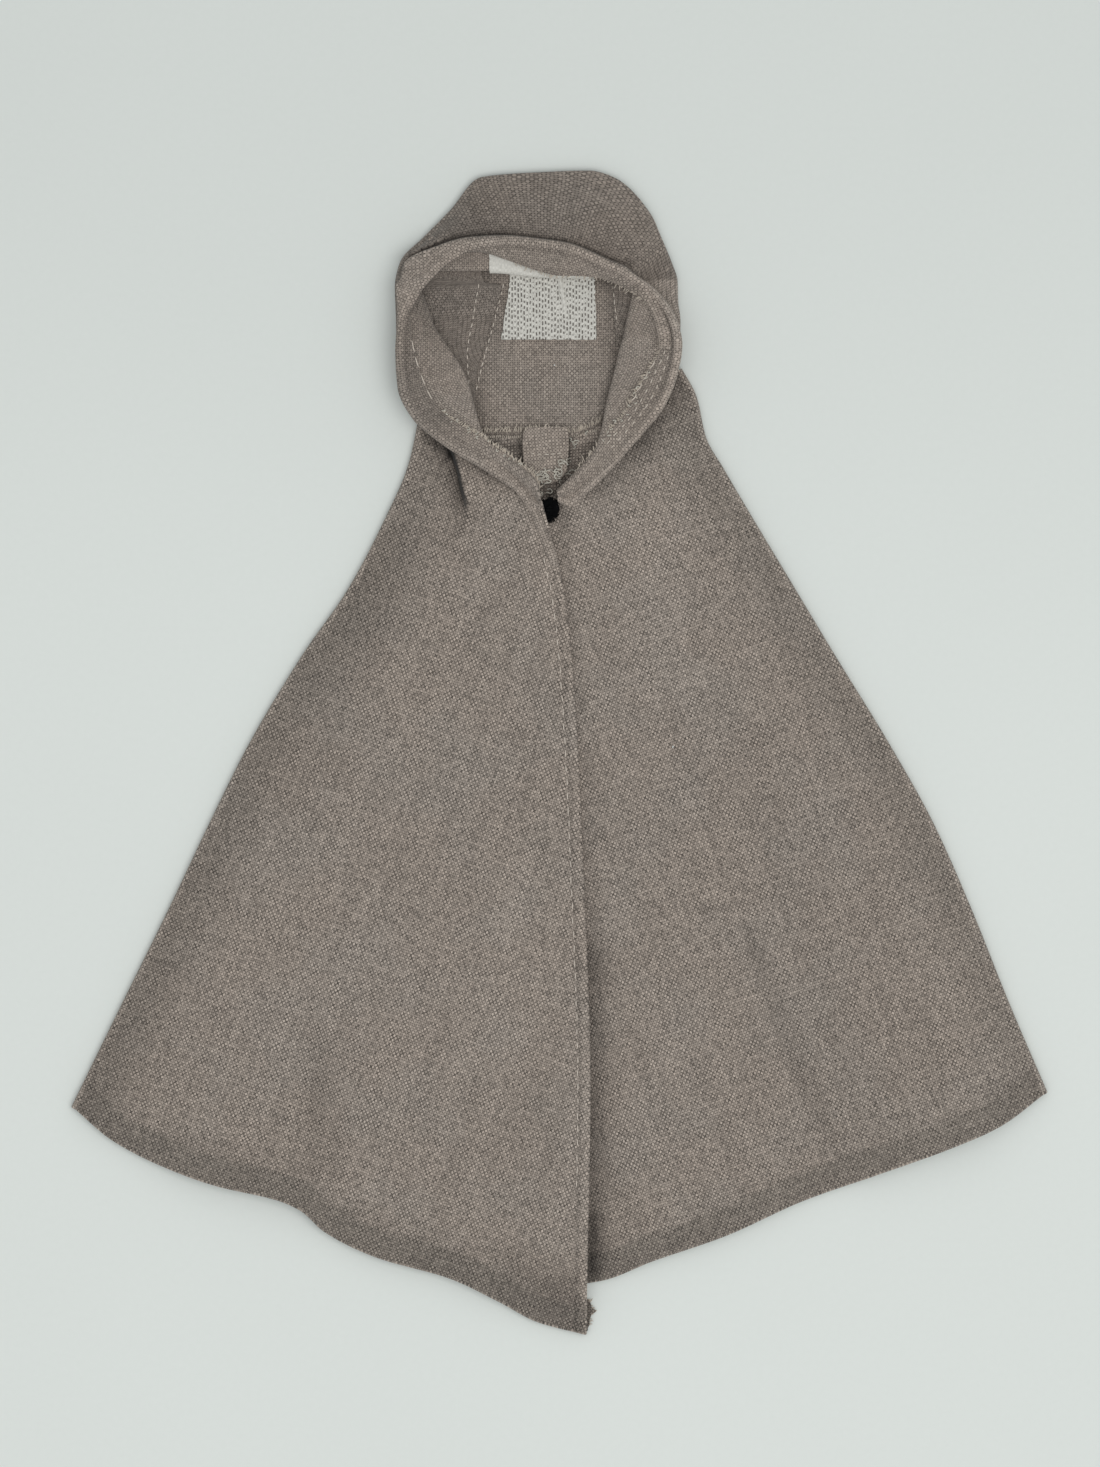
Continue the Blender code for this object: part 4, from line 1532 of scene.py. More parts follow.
    # Painted shade on the back at the neck, under the hood back's lower edge, beside the tab and in
    # the pocket by the snap
    neck_strokes: tuple[Stroke, ...] = tuple(starmap(Stroke, (
        (-14, 57.3, -7.5, 57.6, 0.5, 0.35),
        (-12.5, 55, -7.4, 50.5, 2.2, 0.4),
        (-7.2, 57, -6.2, 50, 1.1, 0.75),
        (1.9, 57.5, 1.7, 52, 0.7, 0.55),
        (2.5, 54, 6.5, 56.5, 1.6, 0.2),
        (-4.5, 49.5, -0.5, 47, 1.9, 0.6),
    )))
    tuck_path: Rows = (
        (36, -20), (40, -17.9), (42.5, -16.8), (44.6, -16.6),
        (47.7, -17.3), (51.8, -18.2), (54.5, -19.1), (58, -20.7),
    )
    lifts: tuple[Lift, ...] = tuple(starmap(Lift, (
        (-88, 0.4), (-76, 1.2), (-62, 2.6), (-50, 3.4), (-40, 1.2),
        (-28, 1.6), (-16, 2), (-6, 0.8), (2, 0.3), (10, 0.5),
        (22, 1.4), (36, 0.8), (48, 0.6), (60, 2.4), (72, 3.6),
        (81, 2.2), (88, 0.5),
    )))
    level: float = 1.8
    hem_level: float = 0.75
    side_return: float = 3.5
    turned: float = 4.2
    hem_turned: float = 4.4
    warp_lean: float = 19.0
    rows: int = 200
    columns: int = 112
    near_edge: tuple[float, ...] = (
        TURN, 0.5, 0.8, 1.1, 1.4, 1.7, 1.95, 2.2, 2.5, 2.8, 3.2, 3.7, 4.3, 5.0
    )
    back_radius: float = 138.5
    back_centre: Pair = (-1.3, 56.7)
    front_flat: Pair = (0.112, 0.172)
    back_flat: Pair = (0.160, 0.152)
    tip: Rows = (
        (-97.9, 5), (-98.4, 5.5), (-99.3, 5.8), (-100.2, 6.5),
        (-100.7, 5.7), (-102.6, 5.3), (-104.2, 4.8),
    )
    areas: dict[str, float] = field(default_factory=dict)

    @property
    def arc(self) -> float:
        """Gives the radius of the side fold, to the middle of the cloth."""
        return (self.level - HALF) / 2

    def edge_at(self, y: Array) -> Array:
        """Finds how far across the upper front's middle edge lies at heights."""
        return read([(row.y, row.over) for row in sorted(self.edges)], y)

    def creased(self, x: Array, y: Array) -> Array:
        """Adds up the soft ridges and troughs.

        Args:
            x: Places across.
            y: Places up.

        Returns:
            How far the cloth rises there.
        """
        height = np.zeros_like(x)
        for c in self.creases:
            run = np.array([c.x1 - c.x0, c.y1 - c.y0], float)
            length = float(np.linalg.norm(run))
            run /= length
            down = (x - c.x0) * run[0] + (y - c.y0) * run[1]
            across = (x - c.x0) * -run[1] + (y - c.y0) * run[0]
            soft = max(c.left, c.right)
            ends = ease(down, -soft, 2 * soft) * fade(down, length - soft, length + 2 * soft)
            height += c.rise * ends * bell(across, 0.0, np.where(across < 0, c.left, c.right))
        return height

    def tuck(self, x: Array, y: Array) -> Array:
        """Raises the small sharp tuck that falls from the left of the neck.

        Args:
            x: Places across.
            y: Places up.

        Returns:
            How far the cloth rises there.
        """
        across = x - read(self.tuck_path, y)
        strong = ease(y, 42.0, 46.5)
        faint = ease(y, 35.0, 43.0)
        right = np.exp(-(np.clip(across, 0, None) / 4.2) ** 1.3)
        right = right * ease(across, -1.2 + 0.85 * strong, 0.30)
        left = bell(across, -0.9, 2.4) * (1 - 0.8 * ease(across, -0.35, 0.3))
        return (0.25 * faint + 1.45 * strong) * right - (0.35 * faint + 0.90 * strong) * left

    def tuck_shade(self, x: Array, y: Array) -> Array:
        """Shades the hollow beside the tuck.

        Args:
            x: Places across.
            y: Places up.

        Returns:
            How dark the hollow is there.
        """
        across = x - read(self.tuck_path, y)
        past = np.minimum(across - 0.1, 0.0)
        deep = ease(-across, -0.5, 0.0) * (1.60 * np.exp(past / 1.35) + 0.46 * np.exp(past / 3.2))
        soft = 0.30 * bell(across, -0.8, 2.2) * ease(y, 34.0, 40.0)
        strong = ease(y, 42.4, 47.2)
        return deep * strong + soft * (1 - strong)

    def height(
        self, x: Array, y: Array, from_side: Array, from_hem: Array, side: Side
    ) -> Array:
        """Gives the level of the middle of a front's cloth.

        Args:
            x: Places across.
            y: Places up.
            from_side: Distance from the side fold.
            from_hem: Distance from the hem.
            side: Which front it is.

        Returns:
            Its levels.
        """
        inside = ease(from_side, 3.5, 13.0)
        near_hem = fade(from_hem, 0.0, 5.5)
        level = self.level - (self.level - self.hem_level) * near_hem * inside
        lift = read(self.lifts, x)
        level += lift * fade(from_hem, 2.0, 24.0) * ease(from_side, 0.0, 12.0)
        level += 0.16 * fade(from_hem, 3.9, 5.2) * inside
        level += self.creased(x, y) * inside
        calm = ease(from_side, 0.0, 5.0) * 0.85 + 0.15
        level += (0.10 * ripple(x, y, 11, 16.0) + 0.045 * ripple(x, y, 12, 5.0)) * calm
        edge = self.edge_at(y)
        if side is Side.LEFT:
            level += self.tuck(x, y) * ease(from_side, 0.0, 3.0)
            from_edge = edge - x
            depth = 1.0 + 1.5 * ease(-y, 5.0, 75.0) * fade(-y, 92.0, 103.0)
            raised = (depth - 0.06) * fade(from_edge, 2.0, 16.0)
            level += raised * (1 - 0.5 * ease(-y, 95.0, 104.0))
            level += 0.16 * bell(from_edge, 0.9, 0.75) - 0.16 * bell(from_edge, 2.1, 0.45)
            near = np.hypot(x - SNAP[0], y - SNAP[1]) / 6.0
            level += 1.0 * np.exp(-(near**4))
        else:
            hollow = bell(x - edge, 1.0, 3.0) * ease(-y, 10.0, 60.0)
            level -= 0.55 * hollow * ease(from_hem, 0.0, 6.0)
            near = ((x - 3.6) / 5.0) ** 2 + ((y - 44.6) / 4.6) ** 2
            level += 2.0 * np.exp(-near) * ease(x, -0.6, 2.6)
        return level

    @staticmethod
    def stroked(plan: Array, strokes: Sequence[Stroke]) -> Array:
        """Adds up the strokes of painted shade, and of painted light where their depth is below 0.

        Args:
            plan: Places in plan.
            strokes: The strokes.

        Returns:
            How dark each place is.
        """
        dark = np.zeros(plan.shape[:-1])
        for s in strokes:
            start, run = np.array([s.x0, s.y0]), np.array([s.x1 - s.x0, s.y1 - s.y0])
            share = np.clip(((plan - start) @ run) / (run @ run), 0, 1)
            away = np.linalg.norm(plan - start - share[..., None] * run, axis=-1)
            dark += s.depth * bell(away, 0.0, s.half_width)
        return dark

    def outline(self, side: Side) -> Outline:
        """Gathers a front's four edges.

        Args:
            side: Which front.

        Returns:
            Its edges.
        """
        if side is Side.LEFT:
            middle = [(row.over, row.y) for row in self.edges] + [self.over_end]
            return Outline(middle, self.left_side, self.hood.sections[1:8], self.left_hem)
        middle = [(row.under, row.y) for row in self.edges[:-1]] + [self.under_end]
        return Outline(middle, self.right_side, self.hood.sections[-2:-10:-1], self.right_hem)

    def filled(self, outline: Outline, edge: Array, fold: Array, shares: Array) -> Array:
        """Fills a front's plan between its four edges, more finely near the middle edge.

        Args:
            outline: The front's edges.
            edge: Its middle edge.
            fold: Its side fold.
            shares: Each row's share of the way down.

        Returns:
            Points in plan.
        """
        width = np.linalg.norm(fold - edge, axis=1)[:, None]
        near = self.near_edge[-1] / width
        across = np.concatenate([
            np.array(self.near_edge) / width,
            near + (1 - near) * np.linspace(0, 1, self.columns)[1:],
        ], axis=1)
        neck = [polar(s.angle, s.outer - 0.9) for s in outline.neck]
        top = along([outline.middle[0], *neck, fold[0]], across)
        bottom = along([outline.middle[-1], *outline.hem[::-1], fold[-1]], across)
        u, v = across[..., None], shares[:, None, None]
        corners = (
            (1 - u) * (1 - v) * edge[0] + u * (1 - v) * fold[0]
            + (1 - u) * v * edge[-1] + u * v * fold[-1]
        )
        sides = (1 - u) * edge[:, None] + u * fold[:, None]
        return sides + (1 - v) * top + v * bottom - corners

    def edge_turning(self, panel: Array, edge: Array) -> tuple[Array, Array]:
        """Turns a front's middle edge under.

        Args:
            panel: The panel's points.
            edge: Its middle edge.

        Returns:
            The turning's columns from its raw edge on, in space and on the cut.
        """
        toward = unit(panel[:, 8, :2] - panel[:, 0, :2])
        near = self.near_edge
        points, cut = [], []
        for reach in (self.turned, 3.2, 2.2, 1.2, 0.5):
            level = np.array([np.interp(reach, near, row[: len(near), 2]) for row in panel])
            points.append(lifted(edge + toward * reach, level - 2 * TURN + 0.04))
            cut.append(edge - toward * reach)
        for swing in np.linspace(0, math.pi, 6)[1:-1]:
            level = panel[:, 0, 2] - TURN - TURN * math.cos(swing)
            points.append(lifted(edge + toward * (TURN - TURN * math.sin(swing)), level))
            cut.append(edge + toward * TURN * (swing / math.pi - 0.5))
        return np.stack(points, 1), np.stack(cut, 1)

    def side_turning(self, side: Array, into: Array, fold: Array) -> tuple[Array, Array]:
        """Folds a front's side down and back under it.

        Args:
            side: The side's outline.
            into: Unit vectors from it into the front.
            fold: Where the fold starts.

        Returns:
            The turning's columns from the fold on, in space and on the cut.
        """
        points, cut = [], []
        for swing in np.linspace(0, math.pi, 11)[1:]:
            level = HALF + self.arc + self.arc * math.cos(swing)
            points.append(lifted(fold - into * self.arc * math.sin(swing), level))
            cut.append(fold - into * self.arc * swing)
        down = np.linalg.norm(side - side[0], axis=1)[:, None]
        reach = 0.8 + (self.side_return - 0.8) * ease(down, 2.0, 14.0)
        for share in (0.35, 0.7, 1.0):
            points.append(lifted(fold + into * reach * share, HALF))
            cut.append(fold - into * (self.arc * math.pi + reach * share))
        return np.stack(points, 1), np.stack(cut, 1)

    def hem_turning(
        self, middle: Array, flat: Array, panel: slice, full: Array
    ) -> tuple[Array, Array]:
        """Turns a front's hem under.

        Args:
            middle: The front's points, whose last row moves in by the fold's radius.
            flat: The same points on the cut.
            panel: The columns of the panel itself.
            full: How much of the turning's full depth each column has.

        Returns:
            The points with the turning's rows, in space and on the cut.
        """
        reach = 0.4 + (self.hem_turned - 0.4) * full
        bend = TURN * (0.35 + 0.65 * full)
        up = unit(middle[-4, :, :2] - middle[-1, :, :2])
        hem, hem_level = middle[-1, :, :2].copy(), middle[-1, :, 2].copy()
        middle[-1, :, :2] += up * bend[:, None]
        points, cut = [], []
        for swing in np.linspace(0, math.pi, 6)[1:]:
            spot = hem + up * (bend - bend * math.sin(swing))[:, None]
            points.append(lifted(spot, hem_level - bend + bend * math.cos(swing)))
            cut.append(flat[-1] - up * (bend * (swing - math.pi / 2))[:, None])
        from_hem = np.linalg.norm(middle[:-1, :, :2] - hem, axis=2)[::-1]
        for share in (0.3, 0.65, 1.0):
            level = hem_level - 2 * bend
            for j in range(panel.start, panel.stop):
                above = np.interp(reach[j] * share, from_hem[:, j], middle[-2::-1, j, 2])
                level[j] = above - 2 * bend[j] - 0.02
            into = up * (reach * share)[:, None]
            points.append(lifted(hem + into, np.maximum(level, HALF * 0.9)))
            cut.append(flat[-1] - into)
        middle = np.concatenate([middle, np.stack(points)])
        middle[..., 2] = np.maximum(middle[..., 2], HALF + 0.02)
        return middle, np.concatenate([flat, np.stack(cut)])

    def front_marks(
        self, side: Side, plan: Array, edge: Array, from_side: Array, from_hem: Array
    ) -> Array:
        """Marks where a front is doubled, paints its shade and paints a highlight along the upper
        front's turned edge.

        Args:
            side: Which front.
            plan: Its panel in plan.
            edge: Its middle edge.
            from_side: Distance from the side fold.
            from_hem: Distance from the hem.

        Returns:
            The panel's marks.
        """
        x, y = plan[..., 0], plan[..., 1]
        marks = np.zeros((*x.shape, 3))
        band = fade(from_hem + 0.4 * ripple(x, y, 8, 9.0), 4.3, 5.5)
        marks[..., 0] = np.clip(band + 0.55 * fade(from_side, 1.0, 9.0), 0, 1)
        # Painted shade near the side fold and the hem, where the cloth slopes away and more layers
        # lie under it
        margin = 0.30 * fade(from_side, 2.0, 15.0) + 0.22 * fade(from_hem, 4.0, 11.0)
        if side is Side.LEFT:
            margin = margin * (1 - 0.7 * ease(y, 36.0, 48.0))
            dark = self.stroked(plan, self.left_strokes) + margin + self.tuck_shade(x, y)
            inside = np.linalg.norm(plan - edge[:, None], axis=2)
            # Painted shade along a groove 1.75 mm in from the upper front's edge, and painted
            # highlight along the edge itself
            dark = dark + 0.32 * bell(inside, 1.75, 0.4)
            marks[..., 1] = 0.45 * fade(inside, 0.9, 1.5)
        else:
            dark = self.stroked(plan, self.right_strokes) + margin * 0.5
        marks[..., 2] = np.clip(dark, -0.3, 1.9)
        return marks

    def front(self, side: Side) -> ClothSheet:
        """Makes a front: its turned middle edge, the panel, the side fold and the hem's turning.

        Args:
            side: Which front.

        Returns:
            The front's cloth.
        """
        outline = self.outline(side)
        shares = np.unique(np.concatenate([
            np.linspace(0, 0.12, 34), np.linspace(0.12, 0.94, self.rows - 60),
            np.linspace(0.94, 1, 28),
        ]))
        side_line = along(outline.side, shares)
        into = inward(side_line, MIDDLE)
        fold = side_line + into * (self.arc + HALF)
        edge = along(outline.middle, shares)
        plan = self.filled(outline, edge, fold, shares)
        from_side = np.linalg.norm(plan - fold[:, None], axis=2)
        from_hem = np.linalg.norm(plan - plan[-1], axis=2)
        level = self.height(plan[..., 0], plan[..., 1], from_side, from_hem, side)
        panel = lifted(plan, level)
        turned, turned_cut = self.edge_turning(panel, edge)
        bent, bent_cut = self.side_turning(side_line, into, fold)
        middle = np.concatenate([turned, panel, bent], axis=1)
        flat = np.concatenate([turned_cut, plan, bent_cut], axis=1)
        columns = slice(turned.shape[1], turned.shape[1] + panel.shape[1])
        full = np.zeros(middle.shape[1])
        full[columns] = ease(np.linalg.norm(plan[-1] - plan[-1, 0], axis=1), 2.0, 7.0)
        full[columns] *= ease(from_side[-1], 3.0, 10.0)
        middle, flat = self.hem_turning(middle, flat, columns, full)
        marks = np.zeros(middle.shape)
        marks[: len(shares), columns] = self.front_marks(side, plan, edge, from_side, from_hem)
        lean = self.warp_lean if side is Side.LEFT else -self.warp_lean
        return ClothSheet(f"front_{side.value}_cloth", middle, on_cut(flat, lean), marks)

    def back(self) -> ClothSheet:
        """Makes the back: one panel flat on the surface.

        Returns:
            The back's cloth.
        """
        centre = np.array(self.back_centre)
        inset = 1.15 + self.side_return + 0.3
        lines = []
        for side in (self.left_side, self.right_side):
            line = along(side, np.linspace(0, 1, 120))
            line = line + inward(line, MIDDLE) * inset
            keep = (np.hypot(*(line - centre).T) < self.back_radius) & (line[:, 1] < 58.2)
            lines.append(line[keep])
        shares = np.concatenate([np.linspace(0, 0.05, 26), np.linspace(0.05, 1, 65)[1:]])
        left, right = (along(line, shares) for line in lines)
        across = np.linspace(0, 1, 90)[:, None]
        plan = (1 - across) * left[:, None] + across * right[:, None]
        turn = np.arctan2(plan[-1, :, 1] - centre[1], plan[-1, :, 0] - centre[0])
        hem = centre + self.back_radius * np.stack([np.cos(turn), np.sin(turn)], axis=1)
        plan = plan + (hem - plan[-1]) * (shares**2)[:, None, None]
        x, y = plan[..., 0], plan[..., 1]
        rise = read(((-15.0, 0.1), (-6.0, 0.3), (2.0, 0.1), (7.5, 2.2), (13.0, 2.8)), x)
        y += rise * ease(y, 52.5, 57.6)
        level = HALF + 0.02 + 0.78 * ease(y, 55.2, 56.8)
        middle = lifted(plan, level + 0.10 * np.clip(ripple(x, y, 21, 18.0), 0, None))
        marks = np.zeros(middle.shape)
        # Painted shade at the neck, along the neck strokes
        marks[..., 2] = np.clip(self.stroked(plan, self.neck_strokes), 0, 0.9)
        return ClothSheet("back_cloth", middle, on_cut(plan, 42.0), marks)

    def build(self) -> dict[str, Piece]:
        """Builds the back, both fronts and the hem's tip.

        Returns:
            The pieces by name.
        """
        made = {}
        sheet = self.back()
        made["back"] = stand_in(sheet, self.finishes.body, "back")
        self.areas["back"] = sheet.area()
        made["tip"] = ride(self.hem_tip().build(self.finishes.body))
        for side in (Side.RIGHT, Side.LEFT):
            sheet = self.front(side)
            made[side.value] = stand_in(sheet, self.finishes.body, f"front_{side.value}")
            self.areas[side.value] = sheet.area()
        return made

    def hem_tip(self) -> ClothSheet:
        """Makes the frayed end of the upper front's turned hem, which looks out behind its corner.

        Returns:
            The end's cloth.
        """
        start = 4.0
        y = np.linspace(self.tip[0][0], self.tip[-1][0], 26)
        reach = read(self.tip[::-1], y) + 0.12 * ripple(y * 4.0, y, 61, 1.2)
        x = start + (reach - start)[:, None] * np.linspace(0, 1, 12)
        plan = spread(x, y[:, None])
        marks = np.zeros((*x.shape, 3))
        # Doubled, and darkened with painted shade where it looks out from under the front's corner
        marks[..., 0], marks[..., 2] = 1.0, 0.55
        middle = lifted(plan, 0.62 + 0.25 * np.sin((x - start) * 0.9))
        return ClothSheet("hem_tip_end", middle, plan, marks, thickness=0.34)

    def declare(
        self, made: dict[str, Piece], on_back: Sequence[Piece], on_left: Sequence[Piece]
    ) -> None:
        """Args:
            made: The body's pieces; not used.
            on_back: The separate pieces on the back; not used.
            on_left: The separate pieces on the upper front; not used.
        """


@dataclass
class Patch:
    """The white patch on the hood back, which runs over the pleat's edge."""

    finishes: Finishes
    hood: Hood
    rise: float = 0.48
    rows: Rows = (
        (0, -10.5, 6.6), (4.2, -9.9, 6.6), (8.2, -9.2, 6.4), (11, -8.9, 6.4),
        (15, -9.4, 6.2), (20.5, -12.4, 6), (21.5, -12.6, 5.6), (23.4, -12.6, 2), (27, -12.7, -3),
    )
    bottom_y: float = 74.8
    length: float = 26.5
    flat: Pair = (0.020, 0.028)

    def build(self) -> None:
        line = self.hood.pleated(self.rise)
        run = lengths_along(line)
        under = self.hood.under_pleat
        at = np.linspace(0, self.length, 150)
        place = np.interp(self.bottom_y, line[:under, 0], run[:under]) + at
        y, z = np.interp(place, run, line[:, 0]), np.interp(place, run, line[:, 1])
        rows = np.array(self.rows)
        edges = through(rows[:, 0], rows[:, 1:], at)
        for k in range(2):
            edges[:, k] += 0.07 * ripple(at, 0.0, 31 + k, 1.3)
        shares = np.linspace(0, 1, 70)
        x = edges[:, :1] * (1 - shares) + edges[:, 1:] * shares
        middle = spread(x, y[:, None], z[:, None])
        y = middle[..., 1]
        wave = 0.07 * ripple(x, y, 33, 1.6) * fade(at, 0.0, 0.6)[:, None]
        y += wave + self.hood.pleat_shift(x, y, middle[..., 2])
        fold_x = read(((79.0, 1.2), (81.0, 0.9), (86.0, 0.0)), y)
        low = fade(z, 1.2, 2.0)[:, None]
        ridge = bell(x, fold_x, 0.28) * ease(y, 78.6, 80.5)
        middle[..., 2] += 0.42 * ridge * low + 0.05 * ripple(x, y, 34, 4.0)
        marks = np.zeros(middle.shape)
        # Painted highlight along the fold ridge, where the knit's gaps are closed, and closed gaps
        # over the top part
        marks[..., 1] = np.maximum(ridge * low, 0.8 * ease(at, 19.5, 21.0)[:, None])
        cut = spread(x, -at[:, None])
        sheet = ClothSheet("white_patch_cloth", middle, cut, marks, thickness=0.36)
        piece = stand_in(sheet, self.finishes.knit, "patch")
        sheet.area()


@dataclass
class NeckTab:
    """The small tab of cloth sewn inside the neck, with a round top."""

    finishes: Finishes
    left: Rows = (
        (48.9, -3.2), (49.6, -4.3), (51.2, -5.9), (53, -6.5),
        (56, -6.6), (58.3, -6.4), (59, -6),
    )
    right: Rows = (
        (48.9, -1.4), (49.6, 0), (51.2, 1.2), (53, 1.5),
        (56, 1.6), (58.3, 1.5), (59, 1.2),
    )
    level: float = 2.15

    def build(self) -> Piece:
        """Builds the tab.

        Returns:
            The tab.
        """
        y = np.linspace(self.left[0][0], self.left[-1][0], 60)[:, None]
        shares = np.linspace(0, 1, 46)
        plan = spread(read(self.left, y) * (1 - shares) + read(self.right, y) * shares, y)
        x, y = plan[..., 0], plan[..., 1]
        z = self.level + 0.12 * ripple(x, y, 41, 5.0) - 0.14 * bell(y, 54.2, 0.4)
        z = z + 0.5 * ease(y, 52.0, 56.0) * fade(y, 57.6, 59.0) * np.sin(shares * math.pi)
        z = z - 0.5 * ease(-y, -51.5, -49.0)
        marks = np.zeros((*x.shape, 3))
        marks[..., 1] = 0.5
        sheet = ClothSheet("neck_tab_cloth", lifted(plan, z), on_cut(plan, 40.0), marks)
        return stand_in(sheet, self.finishes.hood, "neck_tab")


@dataclass
class Snap:
    """The black snap that holds the fronts together under the upper one's edge."""

    finishes: Finishes
    radius: float = 1.85
    plate: float = 0.42
    socket_level: float = 2.28
    ball_rise: float = 0.62
    lobes: int = 4
    rings: Rows = ((0.35, 0.4), (0.55, -0.35), (0.30, 0.5))
    winding: Rows = ((0.95, 0.36), (1.3, 0.50), (1.65, 0.46), (1.95, 0.22), (2.03, -0.08))

    def disc(self, name: str, level: float) -> Piece:
        """Models one half as a lobed disc with a raised rim.

        Args:
            name: The piece's name.
            level: The level of its underside.

        Returns:
            The half.
        """
        deselect()
        where = (SNAP[0] * MM, SNAP[1] * MM, level * MM)
        bpy.ops.mesh.primitive_circle_add(
            vertices=64, radius=self.radius * MM, fill_type="NGON", location=where
        )
        piece = bpy.context.active_object
        piece.name = name
        piece.data.name = name
        for vertex in piece.data.vertices:
            turn = math.atan2(vertex.co.y, vertex.co.x)
            vertex.co.xy *= 0.955 + 0.045 * math.cos(self.lobes * turn)
        bpy.ops.object.mode_set(mode="EDIT")
        bpy.ops.mesh.select_all(action="SELECT")
        lift = (0, 0, self.plate * 0.6 * MM)
        bpy.ops.mesh.extrude_region_move(TRANSFORM_OT_translate={"value": lift})
        for width, rise in self.rings:
            bpy.ops.mesh.inset(thickness=width * MM, depth=self.plate * rise * MM)
        bpy.ops.mesh.select_all(action="SELECT")
        bpy.ops.mesh.normals_make_consistent(inside=False)
        bpy.ops.object.mode_set(mode="OBJECT")
        deselect()
        piece.select_set(True)
        bpy.context.view_layer.objects.active = piece
        bevel = piece.modifiers.new("round_edges", "BEVEL")
        bevel.width, bevel.segments, bevel.limit_method = 0.06 * MM, 2, "ANGLE"
        bpy.ops.object.modifier_apply(modifier=bevel.name)
        bpy.ops.object.transform_apply(location=True, rotation=True, scale=True)
        bpy.ops.object.shade_smooth_by_angle(angle=math.radians(40))
        piece.data.materials.clear()
        piece.data.materials.append(self.finishes.enamel)
        return piece

    def loops(self, level: float) -> list[Array]:
        """Winds the sewing thread over the rim in bunches.

        Args:
            level: The level of the disc's underside.

        Returns:
            One line for each turn of thread.
        """
        lines = []
        base = np.array([*SNAP, level])
        bunches = [((lobe + 0.5) * math.tau / self.lobes, 1.0) for lobe in range(self.lobes)]
        bunches += [(math.pi * 0.47, 1.06), (math.pi * 1.56, 1.22), (math.pi * 1.38, 1.14)]
        for middle, reach in bunches:
            for k in range(-2, 3):
                turn = middle + k * 0.11
                away = np.array([math.cos(turn), math.sin(turn), 0.0]) * reach
                control = [base + away * r + np.array([0, 0, z]) for r, z in self.winding]
                lines.append(flowing(np.array(control), 3))
        return lines

    def build(self) -> None:
        """Builds both halves and the thread that sews them on."""
        lines = []
        for half, rise in (("socket", 0.0), ("ball", self.ball_rise)):
            level = self.socket_level + rise
            disc = self.disc(f"snap_{half}_disc", level)
            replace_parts(ride(disc), f"snap_{half}")
            lines += self.loops(level)
        ride(tubes("snap_sewing", lines, 0.10, self.finishes.black_thread, 6))


